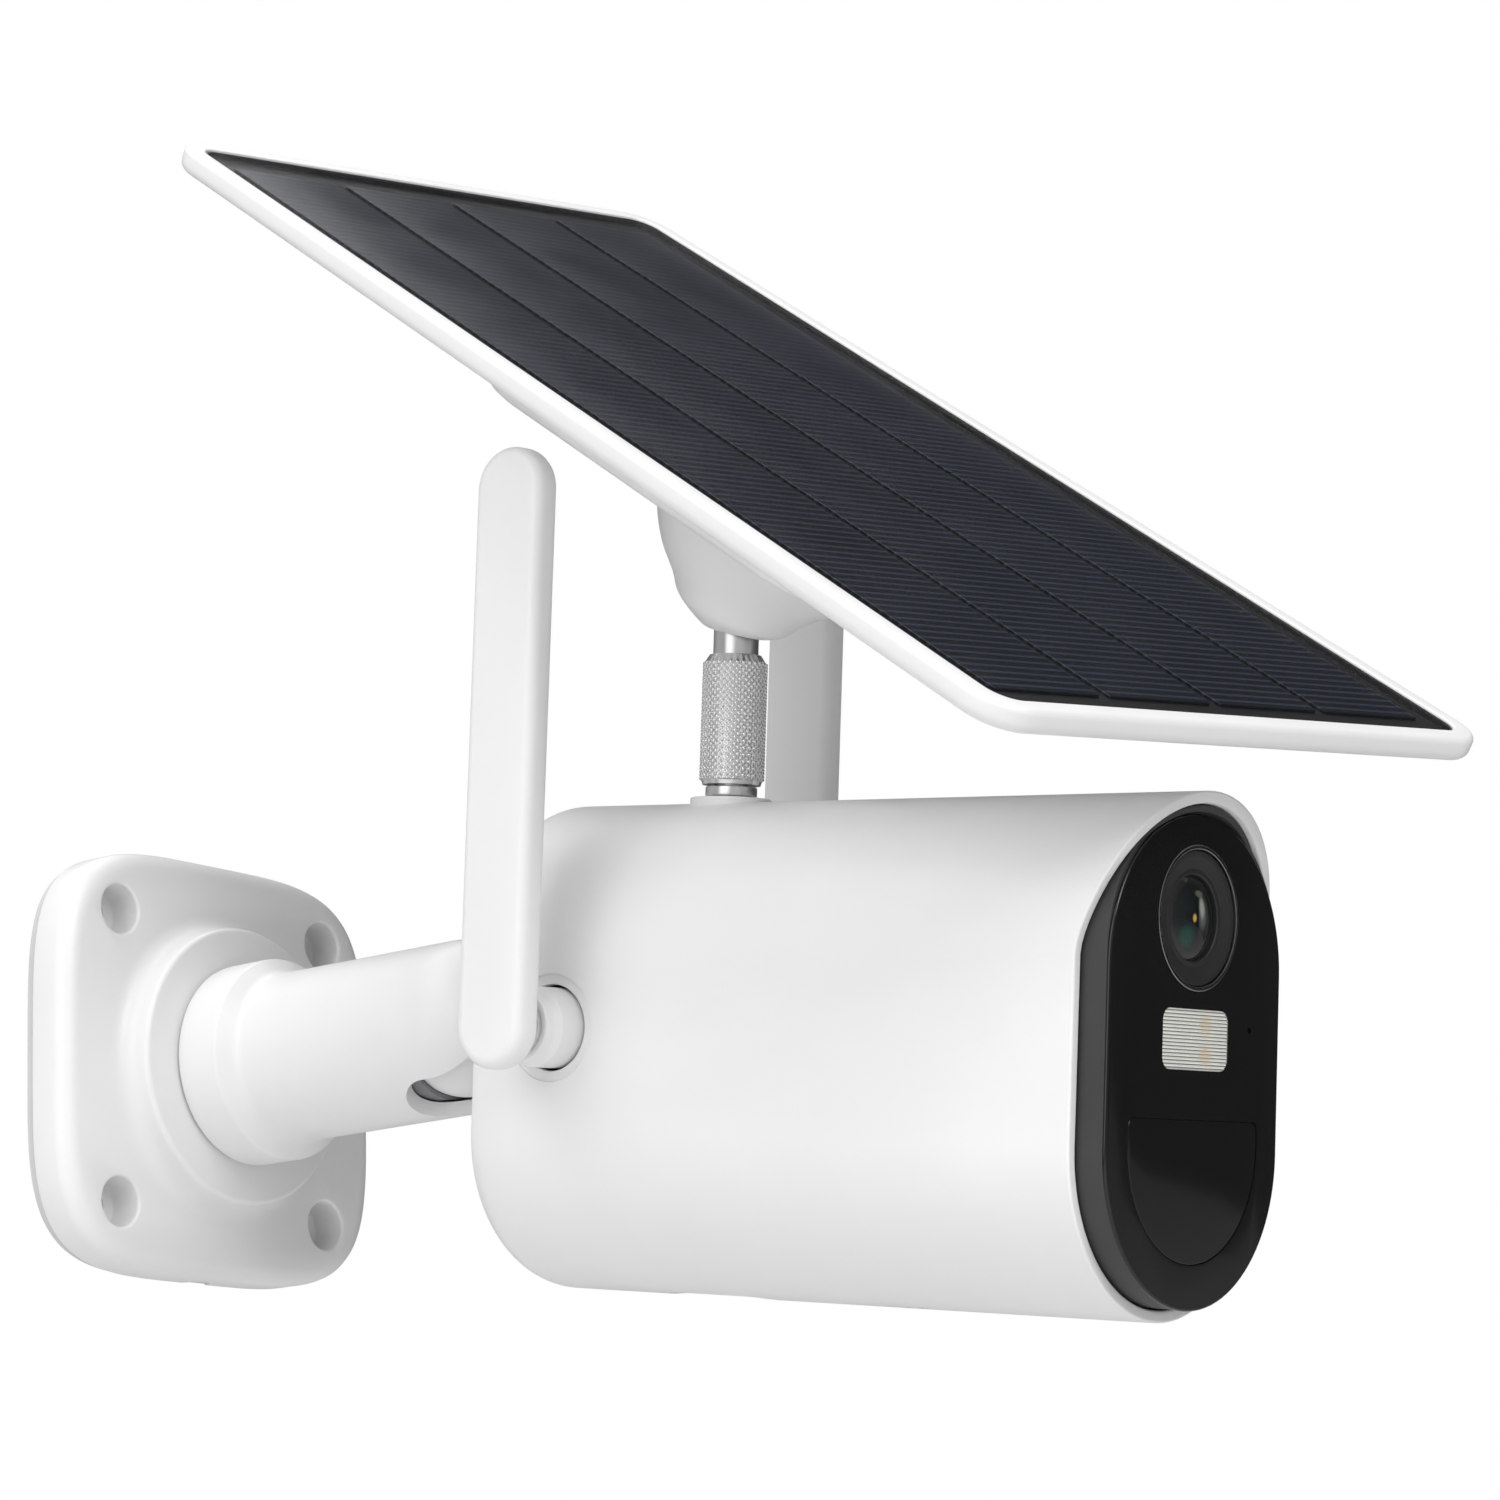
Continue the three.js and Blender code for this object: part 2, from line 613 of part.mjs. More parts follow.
function mainShell() {
  const outer = shellForm(0, -4 * BACK_EDGE, BODY_LENGTH, BACK_EDGE);
  const inside = shellForm(
    SHELL_WALL,
    -4 * BACK_EDGE,
    BODY_LENGTH - BACK_WALL,
    BACK_EDGE - SHELL_WALL,
  );
  const boss = turned([
    [0, HALF_HEIGHT - SHELL_WALL],
    [STUD_BOSS[0], HALF_HEIGHT - SHELL_WALL],
    [STUD_BOSS[0], HALF_HEIGHT + STUD_BOSS[1] / 2],
    [STUD_BOSS[0] - STUD_BOSS[1] / 2, HALF_HEIGHT + STUD_BOSS[1]],
    [0, HALF_HEIGHT + STUD_BOSS[1]],
  ], "z").translate([0, STUD_AT, 0]);
  const [hubY, hubZ] = HUB_AT;
  const hubHole = rod(HUB_RADIUS + GAP, -BODY_WIDTH, BODY_WIDTH, "x");
  const recess = rod(HUB_RECESS_RADIUS, HALF_WIDTH - HUB_RECESS_DEPTH, BODY_WIDTH, "x");
  const studHole = rod(STUD_RADIUS + GAP, 0, BODY_HEIGHT, "z", SMALL);
  const threadHole = rod(THREAD_RADIUS + GAP, BODY_LENGTH / 2, BODY_LENGTH + THROUGH, "y", ROUND);
  return outer
    .intersect(behindHood(0))
    .add(boss.subtract(shellForm(SHELL_WALL, 0, BODY_LENGTH, 0)))
    .subtract(inside)
    .subtract(hubHole.translate([0, hubY, hubZ]))
    .subtract(recess.translate([0, hubY, hubZ]))
    .subtract(recess.mirror([1, 0, 0]).translate([0, hubY, hubZ]))
    .subtract(studHole.translate([0, STUD_AT, 0]))
    .subtract(threadHole.translate([0, 0, NECK_HEIGHT]))
    .subtract(speakerHoles())
    .subtract(portOpening(0, -HALF_HEIGHT - THROUGH, 0));
}

function portCover() {
  const plug = portOpening(GAP, -HALF_HEIGHT - THROUGH, -INNER_TOP + PORT_FLANGE);
  return plug.intersect(shellForm(GAP, 0, BODY_LENGTH, 0));
}

place(body, "main_shell", mainShell(), WHITE_PLASTIC);
place(body, "port_cover", portCover(), WHITE_PLASTIC);

// ---------------------------------------------------------------- front face

const BEZEL_START = FACE_THICKNESS + GAP;
const FACE_HALF = INNER_HALF - GAP;
const FACE_TOP = HALF_HEIGHT - FACE_TOP_INSET;
const FACE_BOTTOM = FACE_BOTTOM_INSET - HALF_HEIGHT;
const LENS_HEIGHT = HALF_HEIGHT - LENS_DROP;
const PIR_BOTTOM = FACE_BOTTOM + PIR_RISE;
const PIR_TOP = PIR_BOTTOM + PIR_HEIGHT;
const PIR_MIDDLE = (PIR_TOP + PIR_BOTTOM) / 2;
const LED_WINDOW_HEIGHT = LENS_HEIGHT - LENS_RING_RADIUS - LED_WINDOW_DROP;
const MIC_AT = [MIC_OFFSET[0], LED_WINDOW_HEIGHT + MIC_OFFSET[1]];

function facePart(outline, edge = 0, arc = ARC) {
  return prism(outline, "y", 0, FACE_THICKNESS, edge, arc);
}

function ledOutline(clearance) {
  const [width, height] = LED_WINDOW;
  return roundedRectangle(
    width + 2 * clearance,
    height + 2 * clearance,
    LED_WINDOW_CORNER + clearance,
  );
}

function faceCut(outline, arc = ARC, from = -THROUGH, to = FACE_THICKNESS + THROUGH) {
  return prism(outline, "y", from, to, 0, arc);
}

// The sensor window: square corners at the top, and a round bottom that follows the face's.
function sensorWindow(clearance, from, to) {
  const half = PIR_WIDTH / 2 + clearance;
  const round = prism(stadium(half, HALF_HEIGHT + half, PIR_BOTTOM - clearance), "y", from, to);
  const square = roundedRectangle(2 * half, BODY_HEIGHT, PIR_CORNER + clearance);
  return round.intersect(
    prism(square, "y", from, to, 0, CORNER_ARC).translate([0, 0, PIR_TOP + clearance - HALF_HEIGHT]),
  );
}

function facePlate() {
  const plate = facePart(stadium(FACE_HALF, FACE_TOP, FACE_BOTTOM), FACE_EDGE);
  const lensHole = rod(LENS_RING_RADIUS + GAP, -THROUGH, BEZEL_START, "y", FINE);
  const micHole = rod(MIC_HOLE, -THROUGH, BEZEL_START, "y", SMALL);
  return plate
    .subtract(lensHole.translate([0, 0, LENS_HEIGHT]))
    .subtract(micHole.translate([MIC_AT[0], 0, MIC_AT[1]]))
    .subtract(faceCut(ledOutline(GAP), CORNER_ARC).translate([0, 0, LED_WINDOW_HEIGHT]))
    .subtract(sensorWindow(GAP, -THROUGH, FACE_THICKNESS + THROUGH));
}

function frontBezel() {
  const inset = SHELL_WALL + GAP;
  const behindFace = block(BODY_WIDTH, BODY_LENGTH, BODY_HEIGHT).translate([
    0,
    BEZEL_START + BODY_LENGTH / 2,
    0,
  ]);
  const outer = shellForm(inset, -4 * BACK_EDGE, BEZEL_DEPTH, 0).intersect(
    behindHood(LINER_SETBACK).add(behindFace),
  );
  const seat = prism(
    stadium(FACE_HALF + GAP, FACE_TOP + GAP, FACE_BOTTOM - GAP),
    "y",
    -4 * BACK_EDGE,
    BEZEL_START,
  );
  const hollow = shellForm(inset + BEZEL_WALL, BEZEL_START + BEZEL_FRONT, BODY_LENGTH, 0);
  const groove = shellForm(inset - THROUGH, 0, SEAL_GROOVE, 0)
    .subtract(shellForm(inset + SEAL_GROOVE, -THROUGH, SEAL_GROOVE + THROUGH, 0))
    .translate([0, MOUTH_SETBACK + 2 * SEAL_GROOVE, 0]);
  const lensHole = rod(LENS_RING_RADIUS + GAP, 0, BEZEL_DEPTH, "y", FINE);
  const pirHole = rod(PIR_SENSOR_RADIUS + GAP, 0, BEZEL_DEPTH, "y", SMALL);
  const micHole = rod(MIC_RADIUS + GAP, 0, BEZEL_DEPTH, "y", SMALL);
  const ledHole = faceCut(ledOutline(0), CORNER_ARC, 0, BEZEL_DEPTH);
  return outer
    .subtract(seat)
    .subtract(hollow)
    .subtract(groove)
    .subtract(lensHole.translate([0, 0, LENS_HEIGHT]))
    .subtract(ledHole.translate([0, 0, LED_WINDOW_HEIGHT]))
    .subtract(pirHole.translate([0, 0, PIR_MIDDLE]))
    .subtract(micHole.translate([MIC_AT[0], 0, MIC_AT[1]]));
}

function bezelSeal() {
  const inset = SHELL_WALL + GAP;
  return shellForm(inset, 0, SEAL_GROOVE - GAP, 0)
    .subtract(shellForm(inset + SEAL_WIDTH - GAP / 2, -THROUGH, SEAL_GROOVE, 0))
    .translate([0, MOUTH_SETBACK + 2 * SEAL_GROOVE + GAP / 2, 0]);
}

const SHROUD_OUTER = LENS_RING_RADIUS - LENS_RING_WIDTH - GAP;
const SHROUD_BACK = FACE_THICKNESS + LENS_SHROUD_DEPTH;

function lensShroud() {
  const mouth = SHROUD_OUTER - LENS_SHROUD_WALL / 2;
  const throat = LENS_GLASS_RADIUS + GAP;
  return turned([
    [mouth, 0],
    [SHROUD_OUTER, 0],
    [SHROUD_OUTER, SHROUD_BACK],
    [throat, SHROUD_BACK],
    [throat, SHROUD_BACK - LENS_SHROUD_WALL],
    [mouth - LENS_SHROUD_WALL, LENS_SHROUD_WALL],
    [mouth, 0],
  ], "y", FINE);
}

const GLASS_FRONT = SHROUD_BACK - LENS_DOME - LENS_SHROUD_WALL;

function lensGlass() {
  const profile = [[0, GLASS_FRONT]];
  for (let i = 1; i <= DOME; i += 1) {
    const share = i / DOME;
    profile.push([LENS_GLASS_RADIUS * share, GLASS_FRONT + LENS_DOME * share ** 2]);
  }
  profile.push([LENS_GLASS_RADIUS, SHROUD_BACK], [0, SHROUD_BACK]);
  return turned(profile, "y", FINE);
}

function boardY([width, height], at, x = 0, z = 0, thickness = BOARD) {
  return block(width, thickness, height).translate([x, at + thickness / 2, z]);
}

function frontBoard() {
  const barrelHole = rod(LENS_BARREL_RADIUS + GAP, 0, BODY_LENGTH, "y", ROUND);
  const inset = SHELL_WALL + GAP + BEZEL_WALL + GAP;
  const board = shellForm(inset, FRONT_BOARD_AT, FRONT_BOARD_AT + BOARD, 0);
  return board.subtract(barrelHole.translate([0, 0, LENS_HEIGHT]));
}

const BARREL_FRONT = SHROUD_BACK + GAP;
const BARREL_BACK = BARREL_FRONT + LENS_BARREL_LENGTH;
const lensRing = rod(
  LENS_RING_RADIUS,
  -LENS_RING_PROUD,
  FACE_THICKNESS,
  "y",
  FINE,
  LENS_RING_RADIUS - LENS_RING_WIDTH,
).translate([0, 0, LENS_HEIGHT]);
const lensBarrel = rod(LENS_BARREL_RADIUS, BARREL_FRONT, BARREL_BACK).translate([0, 0, LENS_HEIGHT]);
const ledWindow = facePart(ledOutline(0), 0, CORNER_ARC).translate([0, 0, LED_WINDOW_HEIGHT]);
const sensorBoard = boardY([SENSOR_BOARD, SENSOR_BOARD], BARREL_BACK + GAP, 0, LENS_HEIGHT);
const ledBoard = boardY(LED_WINDOW, LED_BOARD_AT, 0, LED_WINDOW_HEIGHT, LED_THICKNESS);
const pirCan = rod(PIR_SENSOR_RADIUS, FACE_THICKNESS + 2 * GAP, FRONT_BOARD_AT - GAP, "y", SMALL);
const micCan = rod(MIC_RADIUS, BEZEL_START, FRONT_BOARD_AT - GAP, "y", SMALL);
place(body, "front_bezel", frontBezel(), MATTE_BLACK);
place(body, "bezel_seal", bezelSeal(), RUBBER);
place(body, "face_plate", facePlate(), GLOSS_BLACK);
place(body, "lens_ring", lensRing, BRIGHT_METAL);
place(body, "lens_shroud", lensShroud().translate([0, 0, LENS_HEIGHT]), MATTE_BLACK);
place(body, "lens_glass", lensGlass().translate([0, 0, LENS_HEIGHT]), LENS_GLASS);
place(body, "lens_barrel", lensBarrel, MATTE_BLACK);
place(body, "image_sensor_board", sensorBoard, GREEN_BOARD);
place(body, "led_window", ledWindow, CLEAR);
place(body, "pir_window", sensorWindow(0, 0, FACE_THICKNESS), GLOSS_BLACK);
place(body, "pir_sensor", pirCan.translate([0, 0, PIR_MIDDLE]), STEEL);
place(body, "microphone", micCan.translate([MIC_AT[0], 0, MIC_AT[1]]), STEEL);
place(body, "led_board", ledBoard, GREEN_BOARD);
for (const [name, side] of [["led_upper", 1], ["led_lower", -1]]) {
  const height = LED_WINDOW_HEIGHT + (side * LED_PITCH) / 2;
  const at = [LED_OFFSET, LED_BOARD_AT - GAP - LED_THICKNESS / 2, height];
  place(body, name, block(LED_SIZE, LED_THICKNESS, LED_SIZE).translate(at), LED_YELLOW);
}
place(body, "front_board", frontBoard(), GREEN_BOARD);

// ---------------------------------------------------------------- electronics and battery

const modemAt = MAIN_BOARD_AT + BOARD + GAP;
const CELL_PITCH = 2 * CELL_RADIUS + CELL_SPACING;
const CELL_FRONT = modemAt + MODEM_BOARD[2] + 2 * GAP;
const CELL_LENGTH = BODY_LENGTH - CELL_REAR - CELL_FRONT;

function batteryHolder() {
  const inner = CELL_PITCH + 2 * (CELL_RADIUS + GAP);
  const outer = inner + 2 * HOLDER_WALL;
  const length = CELL_LENGTH + 2 * GAP + HOLDER_WALL;
  const middle = CELL_FRONT - GAP + length / 2;
  return block(outer, length, outer)
    .subtract(block(inner, length, inner).translate([0, -HOLDER_WALL, 0]))
    .translate([0, middle, 0]);
}

const speakerTop = -INNER_TOP + INNER_HALF - Math.sqrt(INNER_HALF ** 2 - SPEAKER_RADIUS ** 2) + GAP;
const speakerCan = rod(SPEAKER_RADIUS, speakerTop, speakerTop + SPEAKER_HEIGHT, "z");
const mainBoardInset = SHELL_WALL + MAIN_BOARD_INSET;
const mainBoard = shellForm(mainBoardInset, MAIN_BOARD_AT, MAIN_BOARD_AT + BOARD, 0);
place(body, "main_board", mainBoard, GREEN_BOARD);
place(body, "modem_board", boardY(MODEM_BOARD, modemAt, 0, 0, MODEM_BOARD[2]), DARK_BOARD);
place(body, "battery_holder", batteryHolder(), GREY_PLASTIC);
for (const [row, z] of [["top", 1], ["bottom", -1]]) {
  for (const [column, x] of [["left", 1], ["right", -1]]) {
    const cell = rod(CELL_RADIUS, CELL_FRONT, CELL_FRONT + CELL_LENGTH, "y", BALL);
    const at = [(x * CELL_PITCH) / 2, 0, (z * CELL_PITCH) / 2];
    place(body, `battery_cell_${row}_${column}`, cell.translate(at), CELL_SLEEVE);
  }
}
place(body, "speaker", speakerCan.translate([0, SPEAKER_AT, 0]), DARK_BOARD);

// ---------------------------------------------------------------- antennas

const ANTENNA_HALF = ANTENNA_WIDTH / 2;
const HUB_REACH = HALF_WIDTH + HUB_LENGTH;
const ANTENNA_INNER = HUB_REACH + ANTENNA_CLEARANCE;
const HUB_FLANGE_FRONT = INNER_HALF - GAP;
const HUB_FLANGE_BACK = HUB_FLANGE_FRONT - HUB_FLANGE;
const PIVOT_TIP = ANTENNA_INNER + ANTENNA_THICKNESS / 2;

// Each is made for the left side, about the x axis through the hubs.
function antennaHub() {
  const bore = PIVOT_RADIUS + GAP;
  return turned([
    [bore, HUB_FLANGE_BACK],
    [HUB_RECESS_RADIUS, HUB_FLANGE_BACK],
    [HUB_RECESS_RADIUS, HUB_FLANGE_FRONT - HUB_FLANGE / 2],
    [HUB_RADIUS, HUB_FLANGE_FRONT - HUB_FLANGE / 2],
    [HUB_RADIUS, HUB_REACH - 2],
    [HUB_RADIUS - 0.5, HUB_REACH - 1],
    [HUB_NOSE_RADIUS, HUB_REACH],
    [bore, HUB_REACH],
    [bore, HUB_FLANGE_BACK],
  ], "x");
}

function pivotScrew() {
  const [headRadius, headHeight] = PIVOT_HEAD;
  const headFront = HUB_FLANGE_BACK - GAP;
  return rod(headRadius, headFront - headHeight, headFront, "x", SMALL).add(
    rod(PIVOT_RADIUS, headFront - headHeight / 2, PIVOT_TIP, "x", SMALL),
  );
}

function antennaPaddle() {
  const outline = stadium(ANTENNA_HALF, ANTENNA_LENGTH - ANTENNA_HALF, -ANTENNA_HALF);
  const paddle = prism(
    outline,
    "x",
    ANTENNA_INNER,
    ANTENNA_INNER + ANTENNA_THICKNESS,
    ANTENNA_EDGE,
  );
  const bossStart = HUB_REACH + PIVOT_WASHER[1] + 2 * GAP;
  return paddle
    .add(rod(ANTENNA_BOSS, bossStart, ANTENNA_INNER + ANTENNA_EDGE, "x"))
    .subtract(rod(PIVOT_RADIUS + GAP, 0, PIVOT_TIP + GAP, "x", SMALL));
}

const washer = rod(
  PIVOT_WASHER[0],
  HUB_REACH + GAP,
  HUB_REACH + GAP + PIVOT_WASHER[1],
  "x",
  ROUND,
  PIVOT_RADIUS + GAP,
);
for (const side of ["left", "right"]) {
  const sided = (made) => (side === "left" ? made : made.mirror([1, 0, 0]));
  const onHub = (made) => sided(made).translate([0, ...HUB_AT]);
  place(body, `${side}_antenna_hub`, onHub(antennaHub()), WHITE_PLASTIC);
  place(body, `${side}_pivot_screw`, onHub(pivotScrew()), STEEL);
  place(body, `${side}_pivot_washer`, onHub(washer), STEEL);
  place(body, `${side}_antenna`, onHub(antennaPaddle()), WHITE_PLASTIC);
}

// ---------------------------------------------------------------- stud and knurled sleeve

const COLLAR_BOTTOM = HALF_HEIGHT + STUD_BOSS[1] + GAP;
const COLLAR_TOP = COLLAR_BOTTOM + STUD_COLLAR[1];
const SLEEVE_BOTTOM = COLLAR_TOP + GAP;
const SLEEVE_TOP = SLEEVE_BOTTOM + SLEEVE_LENGTH;
const STUD_TOP = SLEEVE_BOTTOM + SLEEVE_ENGAGED;
const STUD_NUT_TOP = INNER_TOP - INNER_HALF + Math.sqrt(INNER_HALF ** 2 - STUD_NUT[0] ** 2) - GAP;

function onStud(made) {
  return made.translate([0, STUD_AT, 0]);
}

function panelStud() {
  const pin = rod(STUD_RADIUS, STUD_NUT_TOP - STUD_NUT[1] - THROUGH, STUD_TOP, "z", SMALL);
  return onStud(pin.add(rod(STUD_COLLAR[0], COLLAR_BOTTOM, COLLAR_TOP, "z")));
}

function knurledSleeve() {
  const stemBore = STEM_RADIUS + GAP;
  const step = STUD_TOP + GAP;
  return onStud(
    turned([
      [STUD_RADIUS + GAP, SLEEVE_BOTTOM],
      [SLEEVE_RADIUS - SLEEVE_CHAMFER / 2, SLEEVE_BOTTOM],
      [SLEEVE_RADIUS, SLEEVE_BOTTOM + SLEEVE_CHAMFER / 2],
      [SLEEVE_RADIUS, SLEEVE_TOP - SLEEVE_CHAMFER],
      [SLEEVE_RADIUS - SLEEVE_CHAMFER, SLEEVE_TOP],
      [stemBore, SLEEVE_TOP],
      [stemBore, step],
      [STUD_RADIUS + GAP, step],
      [STUD_RADIUS + GAP, SLEEVE_BOTTOM],
    ], "z"),
  );
}

function ballStem() {
  const centre = HALF_HEIGHT + PANEL_BALL_HEIGHT;
  const stem = rod(STEM_RADIUS, STUD_TOP + 2 * GAP, centre, "z");
  return onStud(stem.add(ball(PANEL_BALL_RADIUS).translate([0, 0, centre])));
}

const studNut = hexagon(
  STUD_NUT[0],
  STUD_NUT_TOP - STUD_NUT[1],
  STUD_NUT_TOP,
  "z",
  STUD_RADIUS + GAP,
);
place(body, "panel_stud", panelStud(), BRIGHT_METAL);
place(body, "stud_nut", onStud(studNut), STEEL);
place(body, "knurled_sleeve", knurledSleeve(), STEEL);
place(body, "ball_stem", ballStem(), BRIGHT_METAL);

// ---------------------------------------------------------------- panel

const TRAY_TOP = PANEL_TOP + RIM_PROUD;
const TRAY_BOTTOM = TRAY_TOP - TRAY_HEIGHT;
const TRAY_INSIDE = TRAY_BOTTOM + TRAY_FLOOR;
const PLATEAU_BOTTOM = TRAY_BOTTOM - PLATEAU_DEPTH;
const FOOT_TOP = PLATEAU_BOTTOM - GAP;
const FOOT_BOTTOM = FOOT_TOP - FOOT_DEPTH;

function panelSheet(inset, from, to, edge = 0) {
  const outline = roundedRectangle(
    PANEL_WIDTH - 2 * inset,
    PANEL_LENGTH - 2 * inset,
    PANEL_CORNER - inset,
  );
  return prism(outline, "z", from, to, edge, CORNER_ARC);
}

function plateau(inset, from, to, edge = 0) {
  const outline = roundedRectangle(
    PLATEAU[0] - 2 * inset,
    PLATEAU[1] - 2 * inset,
    PLATEAU_CORNER - inset,
  );
  return prism(outline, "z", from, to, edge, CORNER_ARC).translate([0, PLATEAU_SHIFT, 0]);
}

function screwPlaces() {
  return [
    ["front", FOOT_SHIFT - PANEL_SCREW_SPACING / 2],
    ["rear", FOOT_SHIFT + PANEL_SCREW_SPACING / 2],
  ];
}

function panelScrewHoles() {
  const holes = screwPlaces().map(([, y]) =>
    rod(PANEL_SCREW[0] + GAP, FOOT_TOP - 4, TRAY_TOP, "z", SMALL).translate([0, y, 0]),
  );
  return wasm.Manifold.union(holes);
}

function panelTray() {
  const above = (height) =>
    block(2 * PANEL_WIDTH, 2 * PANEL_LENGTH, PANEL_TOP).translate([0, 0, height + PANEL_TOP / 2]);
  const shell = panelSheet(0, TRAY_BOTTOM, TRAY_TOP + TRAY_EDGE, TRAY_EDGE).subtract(above(TRAY_TOP));
  const bump = plateau(0, PLATEAU_BOTTOM, TRAY_INSIDE + PLATEAU_EDGE, PLATEAU_EDGE).subtract(
    above((TRAY_BOTTOM + TRAY_INSIDE) / 2),
  );
  return shell
    .add(bump)
    .subtract(panelSheet(RIM_WIDTH, TRAY_INSIDE, TRAY_TOP + THROUGH))
    .subtract(plateau(PLATEAU_WALL + PLATEAU_EDGE / 2, PLATEAU_BOTTOM + PLATEAU_WALL, TRAY_TOP))
    .subtract(panelScrewHoles());
}

function socketHousing() {
  const outline = roundedRectangle(FOOT[0], FOOT[1], FOOT[0] / 2 - 1);
  const foot = prism(outline, "z", FOOT_BOTTOM, FOOT_TOP + FOOT_EDGE, FOOT_EDGE, ARC / 2)
    .translate([0, FOOT_SHIFT, 0])
    .subtract(block(FOOT[0] * 2, FOOT[1] * 2, FOOT_DEPTH).translate([0, 0, FOOT_TOP + FOOT_DEPTH / 2]));
  const rim = [(FOOT[0] - FOOT_EDGE) / 2, (FOOT[1] - FOOT_EDGE) / 2, FOOT_SHIFT, FOOT_BOTTOM + THROUGH / 2];
  const cup = lofted([...CUP_SECTIONS, rim]);
  const bore = rod(PANEL_BALL_RADIUS + GAP, 0, FOOT_TOP + THROUGH, "z");
  const slot = swingSlot(STEM_RADIUS + 3 * GAP, FOOT[1], PANEL_SLOT);
  return foot
    .add(cup)
    .subtract(ball(PANEL_BALL_RADIUS + GAP))
    .subtract(bore)
    .subtract(slot.rotate([90, 0, 0]))
    .subtract(panelScrewHoles());
}

function socketCap() {
  return rod(PANEL_BALL_RADIUS, CAP_BOTTOM, FOOT_TOP, "z").subtract(ball(PANEL_BALL_RADIUS + GAP));
}

function panelScrew() {
  const [shank, headRadius, headHeight] = PANEL_SCREW;
  const seat = PLATEAU_BOTTOM + PLATEAU_WALL + GAP;
  return rod(shank, FOOT_TOP - 4 + GAP, seat + THROUGH, "z", SMALL).add(
    rod(headRadius, seat, seat + headHeight, "z", SMALL),
  );
}

const GLASS_BOTTOM = PANEL_TOP - GLASS;
const STRIP_TOP = GLASS_BOTTOM - GAP;
const STRIP_BOTTOM = STRIP_TOP - CELL_STRIP_THICKNESS;
const BACKING_TOP = STRIP_BOTTOM - GAP;
const junctionAt = PLATEAU_BOTTOM + PLATEAU_WALL + 2;
const junctionBoard = block(JUNCTION_BOARD[0], JUNCTION_BOARD[1], BOARD).translate([
  0,
  PLATEAU_SHIFT,
  junctionAt + BOARD / 2,
]);
place(panel, "panel_tray", panelTray(), WHITE_PLASTIC);
place(panel, "socket_housing", socketHousing(), WHITE_PLASTIC);
place(panel, "socket_cap", socketCap(), GREY_PLASTIC);
for (const [name, y] of screwPlaces()) {
  place(panel, `panel_screw_${name}`, panelScrew().translate([0, y, 0]), STEEL);
}
place(panel, "backing_board", panelSheet(RIM_WIDTH + GAP, BACKING_TOP - BACKING, BACKING_TOP), DARK_BOARD);
const stripPitch = (PANEL_WIDTH - 2 * (RIM_WIDTH + CELL_MARGIN[0]) + CELL_STRIP_GAP) / CELL_STRIPS;
const stripLength = PANEL_LENGTH - 2 * (RIM_WIDTH + CELL_MARGIN[1]);
for (let i = 0; i < CELL_STRIPS; i += 1) {
  const x = (i - (CELL_STRIPS - 1) / 2) * stripPitch;
  const strip = block(stripPitch - CELL_STRIP_GAP, stripLength, CELL_STRIP_THICKNESS);
  const at = [x, 0, STRIP_BOTTOM + CELL_STRIP_THICKNESS / 2];
  place(panel, `solar_cell_strip_${i + 1}`, strip.translate(at), SOLAR_CELL);
}
place(panel, "panel_glass", panelSheet(RIM_WIDTH + GAP, GLASS_BOTTOM, PANEL_TOP), PANEL_GLASS);
place(panel, "junction_board", junctionBoard, GREEN_BOARD);

export default camera;
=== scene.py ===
"""Looks of the solar-powered security camera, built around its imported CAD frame.

Sizes are in millimetres and angles in degrees, in the camera body's, the arm's or the panel's own
frame, and each piece is turned into metres in the row's frame when it is finished.
"""

import json
import math

import bmesh
import bpy
from mathutils import Matrix, Vector


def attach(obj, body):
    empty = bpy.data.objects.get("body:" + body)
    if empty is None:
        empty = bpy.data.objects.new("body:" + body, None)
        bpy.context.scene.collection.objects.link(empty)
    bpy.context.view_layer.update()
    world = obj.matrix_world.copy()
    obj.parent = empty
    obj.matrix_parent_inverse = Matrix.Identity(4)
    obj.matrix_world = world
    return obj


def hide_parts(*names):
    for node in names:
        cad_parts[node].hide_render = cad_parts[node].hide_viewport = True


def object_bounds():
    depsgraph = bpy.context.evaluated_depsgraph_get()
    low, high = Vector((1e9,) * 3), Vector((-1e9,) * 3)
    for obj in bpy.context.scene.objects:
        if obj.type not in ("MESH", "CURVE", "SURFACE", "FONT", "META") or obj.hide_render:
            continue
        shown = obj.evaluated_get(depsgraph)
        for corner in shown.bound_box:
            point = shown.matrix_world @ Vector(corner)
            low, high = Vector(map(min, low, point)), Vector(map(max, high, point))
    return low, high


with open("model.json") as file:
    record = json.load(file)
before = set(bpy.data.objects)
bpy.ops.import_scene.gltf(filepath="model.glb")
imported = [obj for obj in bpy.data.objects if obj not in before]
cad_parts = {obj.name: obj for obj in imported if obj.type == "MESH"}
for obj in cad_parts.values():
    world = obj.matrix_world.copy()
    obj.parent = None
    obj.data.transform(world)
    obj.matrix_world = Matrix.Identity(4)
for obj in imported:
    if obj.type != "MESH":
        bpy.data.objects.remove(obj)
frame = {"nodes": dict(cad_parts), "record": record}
CAD_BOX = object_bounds()

# ---------------------------------------------------------------- driving sizes, in mm and degrees

MM = 0.001
GAP = 0.3

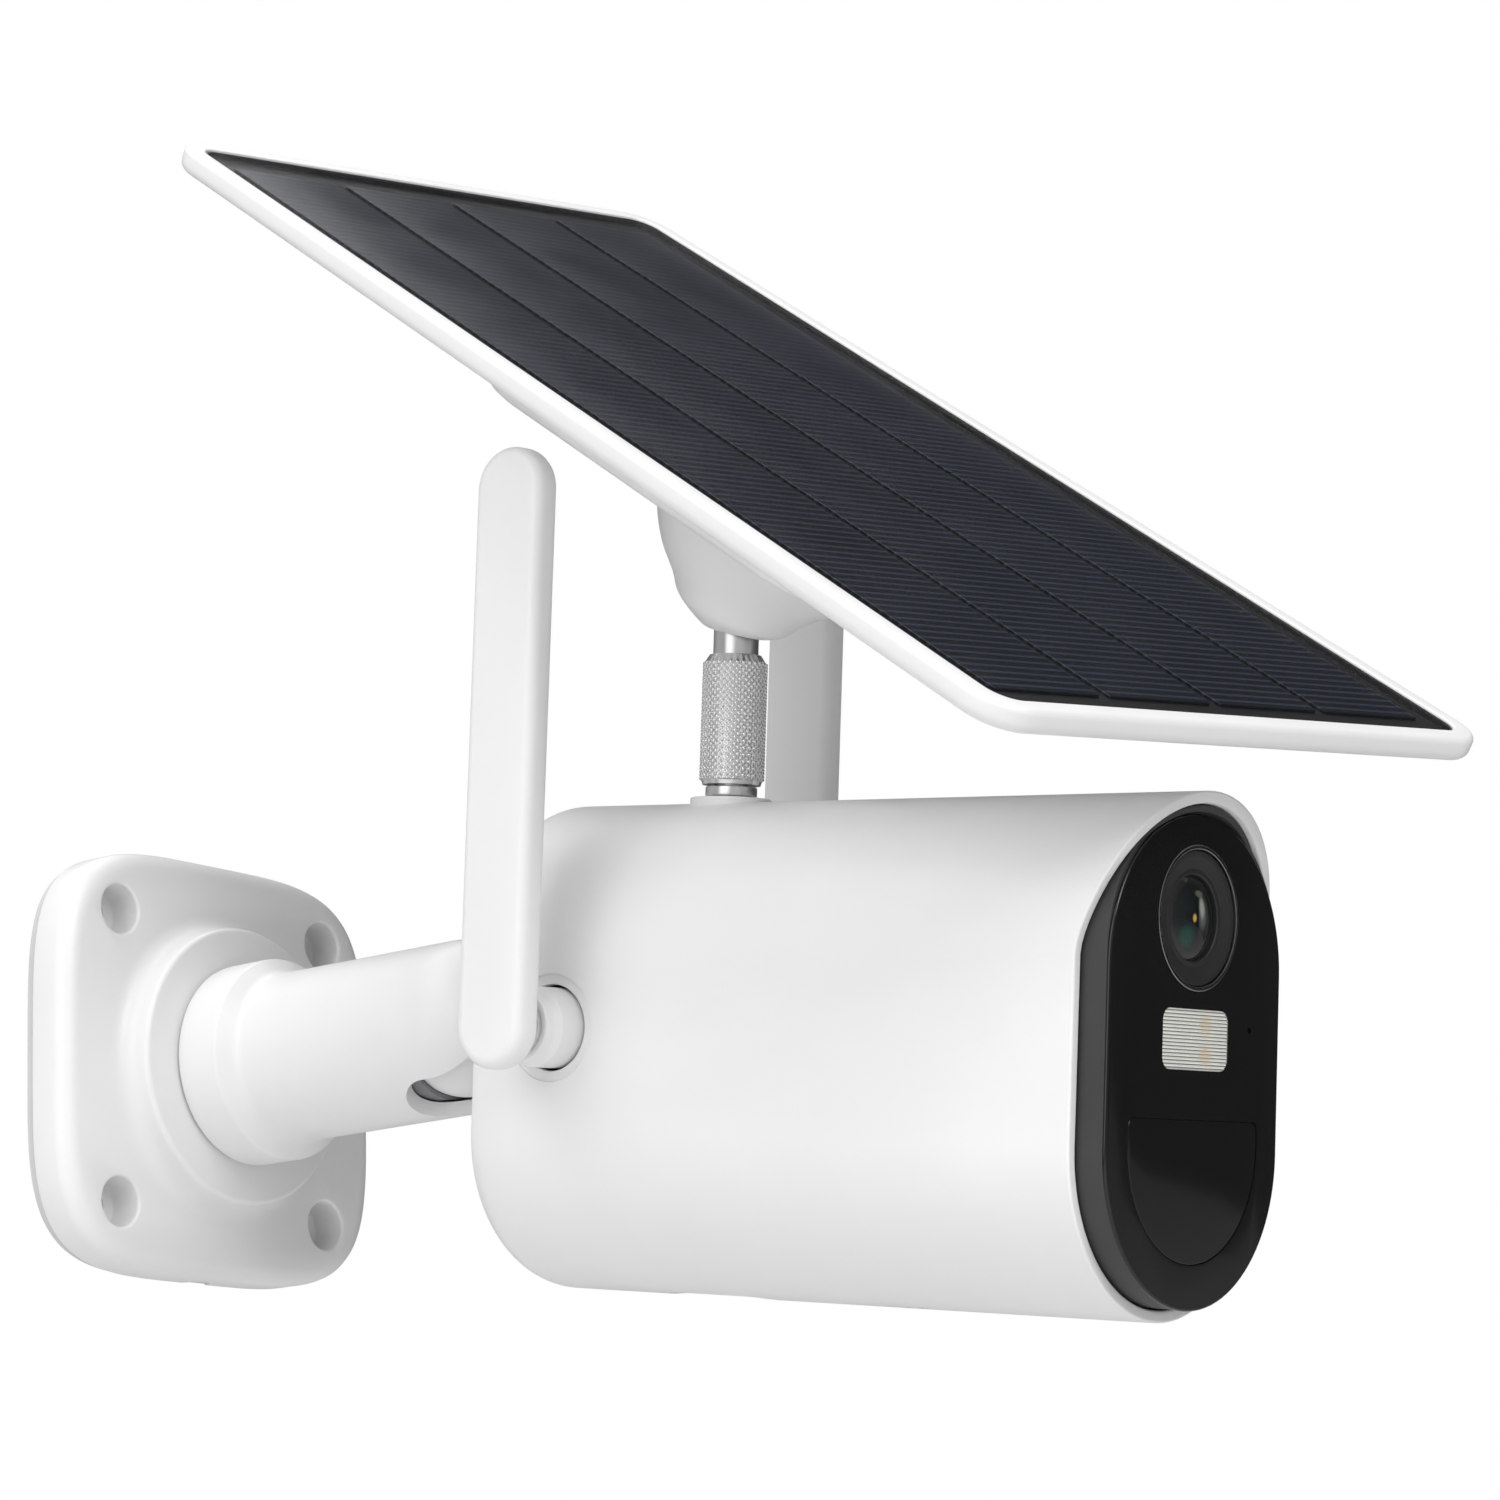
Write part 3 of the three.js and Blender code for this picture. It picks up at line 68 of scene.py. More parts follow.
BODY_HALF = 27.0
BODY_TOP = 42.0
BODY_LENGTH = 132.0
SHELL_WALL = 2.0
BACK_WALL = 2.6
BACK_EDGE = 7.0
MOUTH = 5.3  # shell's front edge behind the face plane
HOOD_REACH = 3.0
HOOD_START = 16.0
HOOD_BLEND = 1.2
RIM_EDGE = 0.45
LINER_SETBACK = 0.9
BEZEL_DEPTH = 12.0
PORT = (10.0, 24.0, 5.0)  # width, length, corner
PORT_AT = 92.0
SPEAKER_AT = 52.0
SPEAKER_HOLE = 0.9
SPEAKER_PITCH = 3.4

FACE_HALF = 24.7
FACE_TOP = 38.4
FACE_BOTTOM = -39.9
FACE_THICKNESS = 1.6
FACE_SHOWN = 0.55  # depth of the face plate's chamfered edge in front of the bezel
FACE_EDGE = 0.35
LENS_HEIGHT = 21.9
LENS_RING = (10.9, 11.6)
LENS_GLASS = 6.8
LENS_DOME = 1.4
TRIM_LIP = 0.14
SHROUD_BACK = 2.6
BARREL_RADIUS = 8.6
BARREL_LENGTH = 19.0
LED_WINDOW = (18.8, 9.6)
LED_WINDOW_HEIGHT = 2.7
LED_WINDOW_CORNER = 2.0
LED_OFFSET = 3.0
LED_PITCH = 4.6
LED_SIZE = 2.8
LED_BOARD_FRONT = 6.0
RIB_PITCH = 0.56
RIB_DEPTH = 0.2
MIC_AT = (15.8, 4.7)
MIC_HOLE = 0.5
PIR_HALF = 18.5
PIR_TOP = -10.0
PIR_BOTTOM = -32.6
PIR_CORNER = 1.5

HUB_AT = (111.3, 2.4)  # y and z of the antenna hubs' axis
HUB_RECESS = (9.1, 0.4)
HUB_RADIUS = 7.0
HUB_NOSE = 5.7
HUB_REACH = 34.4
HUB_START = 22.0
PIVOT_HOLE = 2.5
PIVOT_WASHER = (4.9, 1.0)
ANTENNA_INNER = 37.4
ANTENNA_THICKNESS = 5.6
ANTENNA_HALF = 7.5
ANTENNA_LENGTH = 104.9
ANTENNA_EDGE = 1.9
ANTENNA_BOSS = 4.6
PADDLE_INSET = 0.3  # keeps the paddles clear of the tray when the panel tilts
TIP_INSET = 0.7

STUD_AT = 95.4
STUD_BOSS = (7.0, 0.8)
STUD_COLLAR = (4.45, 1.7)
STUD_RADIUS = 2.5
SLEEVE_RADIUS = 5.6
SLEEVE_LENGTH = 22.4
SLEEVE_CHAMFER = 1.1
KNURL_DEPTH = 0.4
KNURLS = 30
STEM_RADIUS = 3.9
PANEL_BALL = 7.0
PANEL_BALL_HEIGHT = 36.7

PANEL_WIDTH = 115.0
PANEL_LENGTH = 234.0
PANEL_CORNER = 8.0
PANEL_TOP = 31.0
RIM_WIDTH = 3.7
RIM_PROUD = 0.4
TRAY_HEIGHT = 4.4
TRAY_FLOOR = 1.0
TRAY_EDGE = 2.0
PANEL_SHEET = 0.5
BOARD_BOTTOM = 28.3
EDGING = 0.35  # width of the black edging around the sheet
CELL_STRIP = (23.2, 214.0)
CELL_PITCH = 25.2
CELL_BELOW_SHEET = 0.6  # top of the board behind the cells, below the sheet
CELL_THICKNESS = 0.4
FINGER_PITCH = 2.3
FINGER_SHARE = 0.34
PLATEAU = (84.0, 108.0, 20.0)  # width, length, corner
PLATEAU_SHIFT = -8.0
PLATEAU_BOTTOM = 19.4
PLATEAU_EDGE = 4.0
FOOT = (44.0, 66.0, 21.0)
FOOT_SHIFT = -11.0
FOOT_BOTTOM = 13.7
FOOT_EDGE = 3.4
CUP_SECTIONS = [  # half width, half length, y and z of the cup below the foot
    (4.5, 4.5, 0.0, -7.0),
    (6.8, 8.0, -0.1, -5.5),
    (8.8, 11.6, -0.2, -3.6),
    (10.4, 14.0, -0.3, -0.7),
    (13.2, 18.6, -0.6, 3.5),
    (16.8, 24.8, -4.0, 9.0),
    (20.3, 31.3, -11.0, 14.2),
]
PANEL_SLOT = (-36.0, -4.0)

PLATE_SIZE = (81.6, 78.4)
PLATE_THICKNESS = 10.5
PLATE_EDGE = 3.4
PLATE_SQUARENESS = 4.2
PLATE_BACK = 1.8
CABLE_NOTCH = 3.0
GASKET = 1.5
GASKET_INSET = 0.6
HOLE_HALF_SPACING = 27.0
SCREW_HOLE = 2.4
COUNTERBORE = (4.6, 7.0)
BOSS_TOP_RADIUS = 26.0
BOSS_HEIGHT = 5.7
COLLAR_RADIUS = 18.7
COLLAR_LENGTH = 9.5
COLLAR_CONE = 2.8
ARM_SPIGOT = (9.0, 6.0)  # radius, and length inside the plate
ARM_RADIUS = 15.65
ARM_LENGTH = 60.2
ARM_BALL = 12.6
SOCKET_DEPTH = 22.0
SLOT_HALF = 6.7
SLOT_SWING = (-14.0, 95.0)
LOCK_SCREW = 2.0
NECK_RADIUS = 5.2
NECK_LENGTH = 22.0
NECK_HEIGHT = 3.1
THREAD_RADIUS = 4.0
THREAD_INSIDE = 9.0
LOCK_NUT = (8.6, 3.4)

FINE = 96  # facets on a full circle
CORNER_STEPS = 12  # facets on a quarter turn of an outline
EDGE_STEPS = 5  # facets across a rounded edge
SMOOTH_ANGLE = 32.0

# ---------------------------------------------------------------- frames of the moving groups


def turn(axis, angle):
    return Matrix.Rotation(math.radians(angle), 4, axis)


def shift(x, y, z):
    return Matrix.Translation((x, y, z))


WALL = Matrix.Identity(4)
ARM = turn("Y", 21.5)
PIVOT_Y = -(PLATE_THICKNESS + ARM_LENGTH)
HEAD = shift(0, PIVOT_Y, 0) @ turn("Y", -4.5) @ turn("X", 8.3) @ turn("Z", -0.9)
BODY = HEAD @ shift(0, -(BODY_LENGTH + NECK_LENGTH), -NECK_HEIGHT)
BALL_AT = shift(0, STUD_AT, BODY_TOP + PANEL_BALL_HEIGHT)
PANEL = BODY @ BALL_AT @ turn("Z", -7.3) @ turn("X", 28.6) @ turn("Y", -2.7)

# ---------------------------------------------------------------- meshes


def link(name, mesh):
    made = bpy.data.objects.new(name, mesh)
    bpy.context.scene.collection.objects.link(made)
    return made


def skin(rings, closed=False):
    """A closed surface through rings of points; its two ends are capped unless it closes on itself."""
    count = len(rings[0])
    points = [point for row in rings for point in row]
    faces = []
    for i in range(len(rings) if closed else len(rings) - 1):
        low = i * count
        high = (i + 1) % len(rings) * count
        for k in range(count):
            after = (k + 1) % count
            faces.append((low + k, low + after, high + after, high + k))
    if not closed:
        faces.append(tuple(range(count)))
        faces.append(tuple(range((len(rings) - 1) * count, len(rings) * count)))
    mesh = bpy.data.meshes.new("skin")
    mesh.from_pydata(points, [], faces)
    tidy(mesh)
    return link("skin", mesh)


def tidy(mesh, distance=1e-4):
    work = bmesh.new()
    work.from_mesh(mesh)
    bmesh.ops.remove_doubles(work, verts=work.verts, dist=distance)
    bmesh.ops.dissolve_degenerate(work, edges=work.edges, dist=distance)
    bmesh.ops.recalc_face_normals(work, faces=work.faces)
    work.to_mesh(mesh)
    work.free()


def evaluated(piece):
    """The piece's mesh with its modifiers applied."""
    bpy.context.view_layer.update()
    graph = bpy.context.evaluated_depsgraph_get()
    mesh = bpy.data.meshes.new_from_object(piece.evaluated_get(graph))
    piece.modifiers.clear()
    piece.data = mesh
    return piece


def combine(base, tool, operation):
    step = base.modifiers.new("combine", "BOOLEAN")
    step.object = tool
    step.operation = operation
    step.solver = "EXACT"
    evaluated(base)
    bpy.data.objects.remove(tool)
    return base


def cut(base, *tools):
    for tool in tools:
        combine(base, tool, "DIFFERENCE")
    return base


def join(base, *tools):
    for tool in tools:
        combine(base, tool, "UNION")
    return base


def moved(piece, matrix):
    piece.data.transform(matrix)
    return piece


def rounded_path(corners, steps=EDGE_STEPS):
    """A path through (a, b, radius) corners, each rounded to its radius."""
    path = []
    for i, (a, b, radius) in enumerate(corners):
        here = Vector((a, b))
        if radius == 0 or i in (0, len(corners) - 1):
            path.append((a, b))
            continue
        back = (Vector(corners[i - 1][:2]) - here).normalized()
        ahead = (Vector(corners[i + 1][:2]) - here).normalized()
        half = back.angle(ahead) / 2
        centre = here + (back + ahead).normalized() * (radius / math.sin(half))
        start = here + back * (radius / math.tan(half)) - centre
        end = here + ahead * (radius / math.tan(half)) - centre
        sweep = math.pi - 2 * half
        for k in range(steps + 1):
            share = k / steps
            spoke = start * math.sin((1 - share) * sweep) + end * math.sin(share * sweep)
            path.append(tuple(centre + spoke / math.sin(sweep)))
    return path


def smooth_path(points, steps=6):
    """A Catmull-Rom curve through points."""
    ends = [points[0], *points, points[-1]]
    path = []
    for i in range(1, len(ends) - 2):
        p0, p1, p2, p3 = (Vector(p) for p in ends[i - 1 : i + 3])
        for k in range(steps):
            t = k / steps
            curve = 2 * p1 + (p2 - p0) * t
            curve += (2 * p0 - 5 * p1 + 4 * p2 - p3) * t**2
            curve += (3 * p1 - p0 - 3 * p2 + p3) * t**3
            path.append(tuple(curve / 2))
    path.append(points[-1])
    return path


def along(axis, a, b, height):
    """A point at (a, b) of a section's plane, and at a height along the section's axis."""
    return {"x": (height, a, b), "y": (a, height, b), "z": (a, b, height)}[axis]


def lathe(profile, axis="y", segments=FINE, closed=False):
    """A profile of (radius, height) turned about an axis."""
    rings = []
    for radius, height in profile:
        angles = [2 * math.pi * k / segments for k in range(segments)]
        rings.append([along(axis, radius * math.cos(a), radius * math.sin(a), height) for a in angles])
    return skin(rings, closed)


def disc(radius, low, high, axis="y", edge=0.0, segments=FINE):
    """A rod with rounded rims."""
    corners = [(0, low, 0), (radius, low, edge), (radius, high, edge), (0, high, 0)]
    return lathe(rounded_path(corners), axis, segments)


def ring(outer, inner, low, high, axis="y", edge=0.0):
    corners = [
        (inner, (low + high) / 2, 0),
        (inner, low, edge),
        (outer, low, edge),
        (outer, high, edge),
        (inner, high, edge),
        (inner, (low + high) / 2, 0),
    ]
    return lathe(rounded_path(corners, 3)[:-1], axis, closed=True)


def globe(radius, low=-90.0, steps=40):
    """A ball about the origin as a (radius, height) profile from a latitude up to its top."""
    angles = [math.radians(low + (90 - low) * k / steps) for k in range(steps + 1)]
    return [(radius * math.cos(a), radius * math.sin(a)) for a in angles]


# ---------------------------------------------------------------- outlines, each a function of an inset


def corner(x, y, radius, start):
    return [
        (
            x + radius * math.cos(start + math.pi / 2 * k / CORNER_STEPS),
            y + radius * math.sin(start + math.pi / 2 * k / CORNER_STEPS),
        )
        for k in range(CORNER_STEPS + 1)
    ]


def rectangle(width, height, radius):
    def outline(inset):
        r = radius - inset
        x = width / 2 - radius
        y = height / 2 - radius
        quarter = math.pi / 2
        return [
            *corner(x, y, r, 0),
            *corner(-x, y, r, quarter),
            *corner(-x, -y, r, 2 * quarter),
            *corner(x, -y, r, 3 * quarter),
        ]

    return outline


def stadium(half, top, bottom):
    """Straight sides with a half circle at each end."""

    def outline(inset):
        r = half - inset
        points = []
        for height, start in ((top - half, 0.0), (bottom + half, math.pi)):
            for k in range(4 * CORNER_STEPS + 1):
                angle = start + math.pi * k / (4 * CORNER_STEPS)
                points.append((r * math.cos(angle), height + r * math.sin(angle)))
        return points

    return outline


def squircle(width, height, exponent, points=192):
    def outline(inset):
        path = []
        for k in range(points):
            angle = 2 * math.pi * k / points
            across, up = (
                math.copysign(abs(v) ** (2 / exponent), v) for v in (math.cos(angle), math.sin(angle))
            )
            path.append(((width / 2 - inset) * across, (height / 2 - inset) * up))
        return path

    return outline


def sensor_outline(inset):
    """Square corners at the top, and a round bottom that follows the face's."""
    r = PIR_HALF - inset
    points = []
    for k in range(4 * CORNER_STEPS + 1):
        angle = math.pi * (1 + k / (4 * CORNER_STEPS))
        points.append((r * math.cos(angle), PIR_BOTTOM + PIR_HALF + r * math.sin(angle)))
    top = PIR_TOP - inset - PIR_CORNER
    points += corner(r - PIR_CORNER, top, PIR_CORNER, 0)
    points += corner(PIR_CORNER - r, top, PIR_CORNER, math.pi / 2)
    return points


def prism(outline, axis, low, high, low_edge=0.0, high_edge=0.0):
    """An outline drawn along an axis, with a rounded edge at either end."""
    rings = []
    steps = range(EDGE_STEPS + 1) if low_edge else [EDGE_STEPS]
    for k in steps:
        angle = math.pi / 2 * k / EDGE_STEPS
        height = low + low_edge * (1 - math.cos(angle)) if low_edge else low
        rings.append((low_edge * (1 - math.sin(angle)), height))
    steps = reversed(range(EDGE_STEPS + 1)) if high_edge else [EDGE_STEPS]
    for k in steps:
        angle = math.pi / 2 * k / EDGE_STEPS
        height = high - high_edge * (1 - math.cos(angle)) if high_edge else high
        rings.append((high_edge * (1 - math.sin(angle)), height))
    return skin([[along(axis, a, b, height) for a, b in outline(inset)] for inset, height in rings])


def polygon(points, axis, low, high):
    return prism(lambda inset: points, axis, low, high)


def swing_slot(half, reach, angles):
    """Tools that cut a slot for a neck that swings about the x axis, from -Y towards -Z."""
    low, high = (math.radians(a) for a in angles)
    steps = 24
    fan = [(0.0, 0.0)]
    for k in range(steps + 1):
        a = low + (high - low) * k / steps
        fan.append((-reach * math.cos(a), -reach * math.sin(a)))
    tools = [polygon(fan, "x", -half, half)]
    for a in angles:
        tools.append(moved(disc(half, -reach, 0, "y"), turn("X", a)))
    return tools


# ---------------------------------------------------------------- materials


def material(name, color, roughness, metallic=0.0, **sockets):
    made = bpy.data.materials.new(name)
    made.use_nodes = True
    shader = made.node_tree.nodes["Principled BSDF"]
    shader.inputs["Base Color"].default_value = (*color, 1)
    shader.inputs["Roughness"].default_value = roughness
    shader.inputs["Metallic"].default_value = metallic
    for socket, value in sockets.items():
        shader.inputs[socket.replace("_", " ")].default_value = value
    return made


def node(made, kind, **settings):
    added = made.node_tree.nodes.new(kind)
    for key, value in settings.items():
        if key in added.inputs:
            added.inputs[key].default_value = value
        else:
            setattr(added, key, value)
    return added


def wire(made, source, output, target, socket):
    made.node_tree.links.new(source.outputs[output], target.inputs[socket])


def noise(made, scale, detail=3.0):
    place = node(made, "ShaderNodeTexCoord")
    texture = node(made, "ShaderNodeTexNoise", Scale=scale, Detail=detail)
    wire(made, place, "Object", texture, "Vector")
    return texture


def ranged(made, source, output, before, after, smooth=False):
    """Maps a value from one range to another."""
    mapped = node(made, "ShaderNodeMapRange", interpolation_type="SMOOTHSTEP" if smooth else "LINEAR")
    for key, value in zip(("From Min", "From Max", "To Min", "To Max"), (*before, *after)):
        mapped.inputs[key].default_value = value
    wire(made, source, output, mapped, "Value")
    return mapped


def spread(made, texture, low, high):
    """Maps a noise's middle range to low and high."""
    return ranged(made, texture, "Fac", (0.3, 0.7), (low, high))


def mix(made, under, over, source, output="Result"):
    """Lays a colour over another, or over a node's output, by a node's value."""
    mixed = node(made, "ShaderNodeMix", data_type="RGBA")
    mixed.inputs["B"].default_value = (*over, 1)
    if isinstance(under, tuple):
        mixed.inputs["A"].default_value = (*under, 1)
    else:
        made.node_tree.links.new(under, mixed.inputs["A"])
    wire(made, source, output, mixed, "Factor")
    return mixed.outputs["Result"]


def paint(made, shade):
    shader = made.node_tree.nodes["Principled BSDF"]
    made.node_tree.links.new(shade, shader.inputs["Base Color"])
    return made


def calculate(made, operation, source, output, number):
    step = node(made, "ShaderNodeMath", operation=operation)
    step.inputs[1].default_value = number
    wire(made, source, output, step, 0)
    return step


def own_place(made):
    return node(made, "ShaderNodeUVMap", uv_map="panel")


def lines_along(made, place, pitch):
    """Counts lines of a pitch, in mm, up the piece's own face."""
    split = node(made, "ShaderNodeSeparateXYZ")
    wire(made, place, "UV", split, "Vector")
    return calculate(made, "MULTIPLY", split, "Y", 1 / pitch)


def soft_spot(made, place, shade, centre, size, color, fade, strength=1.0):
    """A soft oval of colour laid over a shade; fade is where it starts and ends, as a share of its size."""
    offset = node(made, "ShaderNodeVectorMath", operation="SUBTRACT")
    offset.inputs[1].default_value = (*centre, 0)
    wire(made, place, "UV", offset, 0)
    scaled = node(made, "ShaderNodeVectorMath", operation="DIVIDE")
    scaled.inputs[1].default_value = (*size, 1)
    wire(made, offset, "Vector", scaled, 0)
    reach = node(made, "ShaderNodeVectorMath", operation="LENGTH")
    wire(made, scaled, "Vector", reach, 0)
    return mix(made, shade, color, ranged(made, reach, "Value", fade, (strength, 0.0), smooth=True))


def vary(made, roughness, grain, depth, patch=60.0):
    """Roughness that drifts in soft patches, and a fine moulded or cast grain as bump."""
    shader = made.node_tree.nodes["Principled BSDF"]
    wire(made, spread(made, noise(made, patch), *roughness), "Result", shader, "Roughness")
    bump = node(made, "ShaderNodeBump", Strength=0.35)
    bump.inputs["Distance"].default_value = depth * MM
    wire(made, noise(made, grain, 2.0), "Fac", bump, "Height")
    wire(made, bump, "Normal", shader, "Normal")
    return made


def tint(made, dark, light, scale=25.0):
    """Colour that drifts between two close tones."""
    return paint(made, mix(made, dark, light, spread(made, noise(made, scale), 0, 1)))


def plain(name, dark, light, roughness, grain, depth, **sockets):
    made = material(name, light, roughness[0], **sockets)
    return tint(vary(made, roughness, grain, depth), dark, light)


def solar_cell():
    """Dark blue silicon with thin silver fingers across each strip and a soft blue drift."""
    made = material("solar_cell", (0.006, 0.008, 0.012), 0.32)
    saw = calculate(made, "FRACT", lines_along(made, own_place(made), FINGER_PITCH), "Value", 0)
    line = calculate(made, "LESS_THAN", saw, "Value", FINGER_SHARE)
    drift = spread(made, noise(made, 18.0), 0, 1)
    silicon = mix(made, (0.004, 0.005, 0.008), (0.006, 0.009, 0.015), drift)
    paint(made, mix(made, silicon, (0.034, 0.042, 0.068), line, "Value"))
    shader = made.node_tree.nodes["Principled BSDF"]
    wire(made, spread(made, noise(made, 60.0), 0.28, 0.38), "Result", shader, "Roughness")
    return made


def clear_sheet():
    made = material("panel_glass", (0.01, 0.012, 0.016), 0.2, Alpha=0.12)
    return vary(made, (0.16, 0.24), 1500.0, 0.01)


# painted reflections on the lens, as soft patches: centre, half width and half height in mm, and colour
LENS_PAINTED_REFLECTIONS = [
    ((-2.2, -3.0), (2.4, 2.4), (0.006, 0.042, 0.032)),
    ((2.3, -2.0), (2.4, 3.0), (0.016, 0.017, 0.018)),
    ((1.9, 0.8), (1.9, 3.6), (0.10, 0.11, 0.10)),
    ((1.7, 1.7), (1.1, 2.3), (0.32, 0.34, 0.31)),
    ((1.2, 3.9), (1.6, 0.8), (0.12, 0.12, 0.10)),
    ((0.2, 0.0), (0.5, 4.4), (0.003, 0.003, 0.003)),
    ((-0.6, 0.0), (0.7, 0.9), (0.55, 0.36, 0.10)),
]


def lens_glass_finish():
    """Coated glass over dark elements, whose reflections are painted as soft patches on its face."""
    coat = {"Specular_IOR_Level": 0.3, "Coat_Weight": 0.25}
    made = material("lens_glass", (0.006, 0.008, 0.008), 0.04, **coat)
    place = own_place(made)
    drift = spread(made, noise(made, 220.0), 0, 1)
    shade = mix(made, (0.004, 0.006, 0.006), (0.010, 0.014, 0.013), drift)
    # paints the lens's reflections and glints on its face as soft patches of colour
    for centre, size, color in LENS_PAINTED_REFLECTIONS:
        shade = soft_spot(made, place, shade, centre, size, color, (0.35, 1.0))
    reach = node(made, "ShaderNodeVectorMath", operation="LENGTH")
    wire(made, place, "UV", reach, 0)
    edge = ranged(made, reach, "Value", (5.2, 6.1), (0.0, 1.0), smooth=True)
    paint(made, mix(made, shade, (0.024, 0.022, 0.022), edge))
    return vary(made, (0.03, 0.06), 300.0, 0.002)


def window_finish():
    """Milky ribbed plastic: painted shade as a dark line in each groove, and a warm patch over each of the
    two lamps.
    """
    made = material("clear_window", (0.86, 0.87, 0.82), 0.2, IOR=1.45, Alpha=0.8)
    place = own_place(made)
    # painted shade: the grooves between the ribs are darkened in the colour
    saw = calculate(made, "PINGPONG", lines_along(made, place, RIB_PITCH), "Value", 0.5)
    groove = ranged(made, saw, "Value", (0.05, 0.3), (1.0, 0.0), smooth=True)
    shade = mix(made, (0.96, 0.97, 0.92), (0.17, 0.17, 0.15), groove)
    for height in (LED_PITCH / 2, -LED_PITCH / 2):
        centre = (LED_OFFSET, height)
        shade = soft_spot(made, place, shade, centre, (1, 1), (0.72, 0.5, 0.24), (0.3, 2.6), 0.42)
    paint(made, shade)
    return vary(made, (0.14, 0.24), 700.0, 0.01)


def grey(level):
    return (level, level, level)


# darker tone, lighter tone, roughness from and to, grains per metre, and the grain's depth in mm
PLAIN = {
    "white_shell": (grey(0.80), (0.83, 0.83, 0.828), (0.34, 0.42), 2500.0, 0.02),
    "white_paint": (grey(0.78), (0.82, 0.82, 0.818), (0.32, 0.4), 1400.0, 0.03),
    "gloss_black": ((0.004, 0.004, 0.0045), (0.006, 0.006, 0.0065), (0.08, 0.12), 400.0, 0.003),
    "matte_black": (grey(0.010), grey(0.016), (0.42, 0.52), 3000.0, 0.03),
    "bezel_black": (grey(0.028), grey(0.042), (0.5, 0.62), 2200.0, 0.05),
    "rubber": (grey(0.015), grey(0.025), (0.7, 0.85), 1800.0, 0.05),
    "foam": ((0.55, 0.55, 0.54), (0.62, 0.62, 0.61), (0.8, 0.95), 1800.0, 0.05),
    "green_board": ((0.01, 0.09, 0.035), (0.02, 0.14, 0.06), (0.4, 0.55), 900.0, 0.03),
    "dark_board": ((0.012, 0.013, 0.015), (0.022, 0.023, 0.026), (0.4, 0.5), 900.0, 0.03),
    "white_board": ((0.72, 0.72, 0.70), (0.8, 0.8, 0.78), (0.4, 0.5), 900.0, 0.02),
    "led": ((0.85, 0.52, 0.08), (0.95, 0.68, 0.2), (0.3, 0.4), 900.0, 0.03),
    "battery_sleeve": ((0.03, 0.14, 0.38), (0.05, 0.2, 0.5), (0.3, 0.42), 900.0, 0.02),
    "grey_plastic": ((0.2, 0.2, 0.21), (0.28, 0.28, 0.29), (0.45, 0.6), 1500.0, 0.03),
}
METAL = {
    "steel": ((0.50, 0.50, 0.51), (0.62, 0.62, 0.63), (0.25, 0.38), 900.0, 0.02),
    "knurled_aluminium": (grey(0.70), grey(0.82), (0.18, 0.28), 1200.0, 0.02),
    "bright_metal": (grey(0.62), grey(0.72), (0.26, 0.36), 700.0, 0.01),
    "trim_metal": ((0.22, 0.22, 0.23), (0.34, 0.34, 0.35), (0.25, 0.35), 700.0, 0.01),
}
FINISHES = {
    **{name: plain(name, *row) for name, row in PLAIN.items()},
    **{name: plain(name, *row, Metallic=1.0) for name, row in METAL.items()},
    "lens_glass": lens_glass_finish(),
    "clear_window": window_finish(),
    "panel_glass": clear_sheet(),
    "solar_cell": solar_cell(),
}

# ---------------------------------------------------------------- finishing a piece


def finish(piece, name, place, body, slot, *nodes, look=None, face="xy"):
    """Turns a piece into metres in the row's frame, gives it its finish and its body, and hides the CAD
    nodes that it stands in for.

    The UV map "panel" keeps where each point lies in the piece's own frame, in mm.
    """
    mesh = piece.data
    panel_map = mesh.uv_layers.new(name="panel")
    for loop in mesh.loops:
        panel_map.data[loop.index].uv = getattr(mesh.vertices[loop.vertex_index].co, face)
    mesh.transform(Matrix.Scale(MM, 4) @ place)
    mesh.polygons.foreach_set("use_smooth", [True] * len(mesh.polygons))
    mesh.set_sharp_from_angle(angle=math.radians(SMOOTH_ANGLE))
    mesh.materials.clear()
    mesh.materials.append(FINISHES[look or slot])
    piece.name = name
    mesh.name = name
    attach(piece, body)
    if nodes:
        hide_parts(*nodes)
    return piece


# ---------------------------------------------------------------- wall bracket

BOSS_TOP = -(PLATE_THICKNESS + BOSS_HEIGHT)


def screw_places():
    sides = (-HOLE_HALF_SPACING, HOLE_HALF_SPACING)
    return [(x, z) for x in sides for z in sides]


def wall_gasket():
    size = [length - 2 * GASKET_INSET for length in PLATE_SIZE]
    sheet = prism(squircle(*size, PLATE_SQUARENESS), "y", -GASKET, 0, 0.3, 0)
    cut(sheet, *[moved(disc(SCREW_HOLE, -9, 9), shift(x, 0, z)) for x, z in screw_places()])
    finish(sheet, "wall_gasket_skin", WALL, "wall_base", "foam", "wall_gasket")


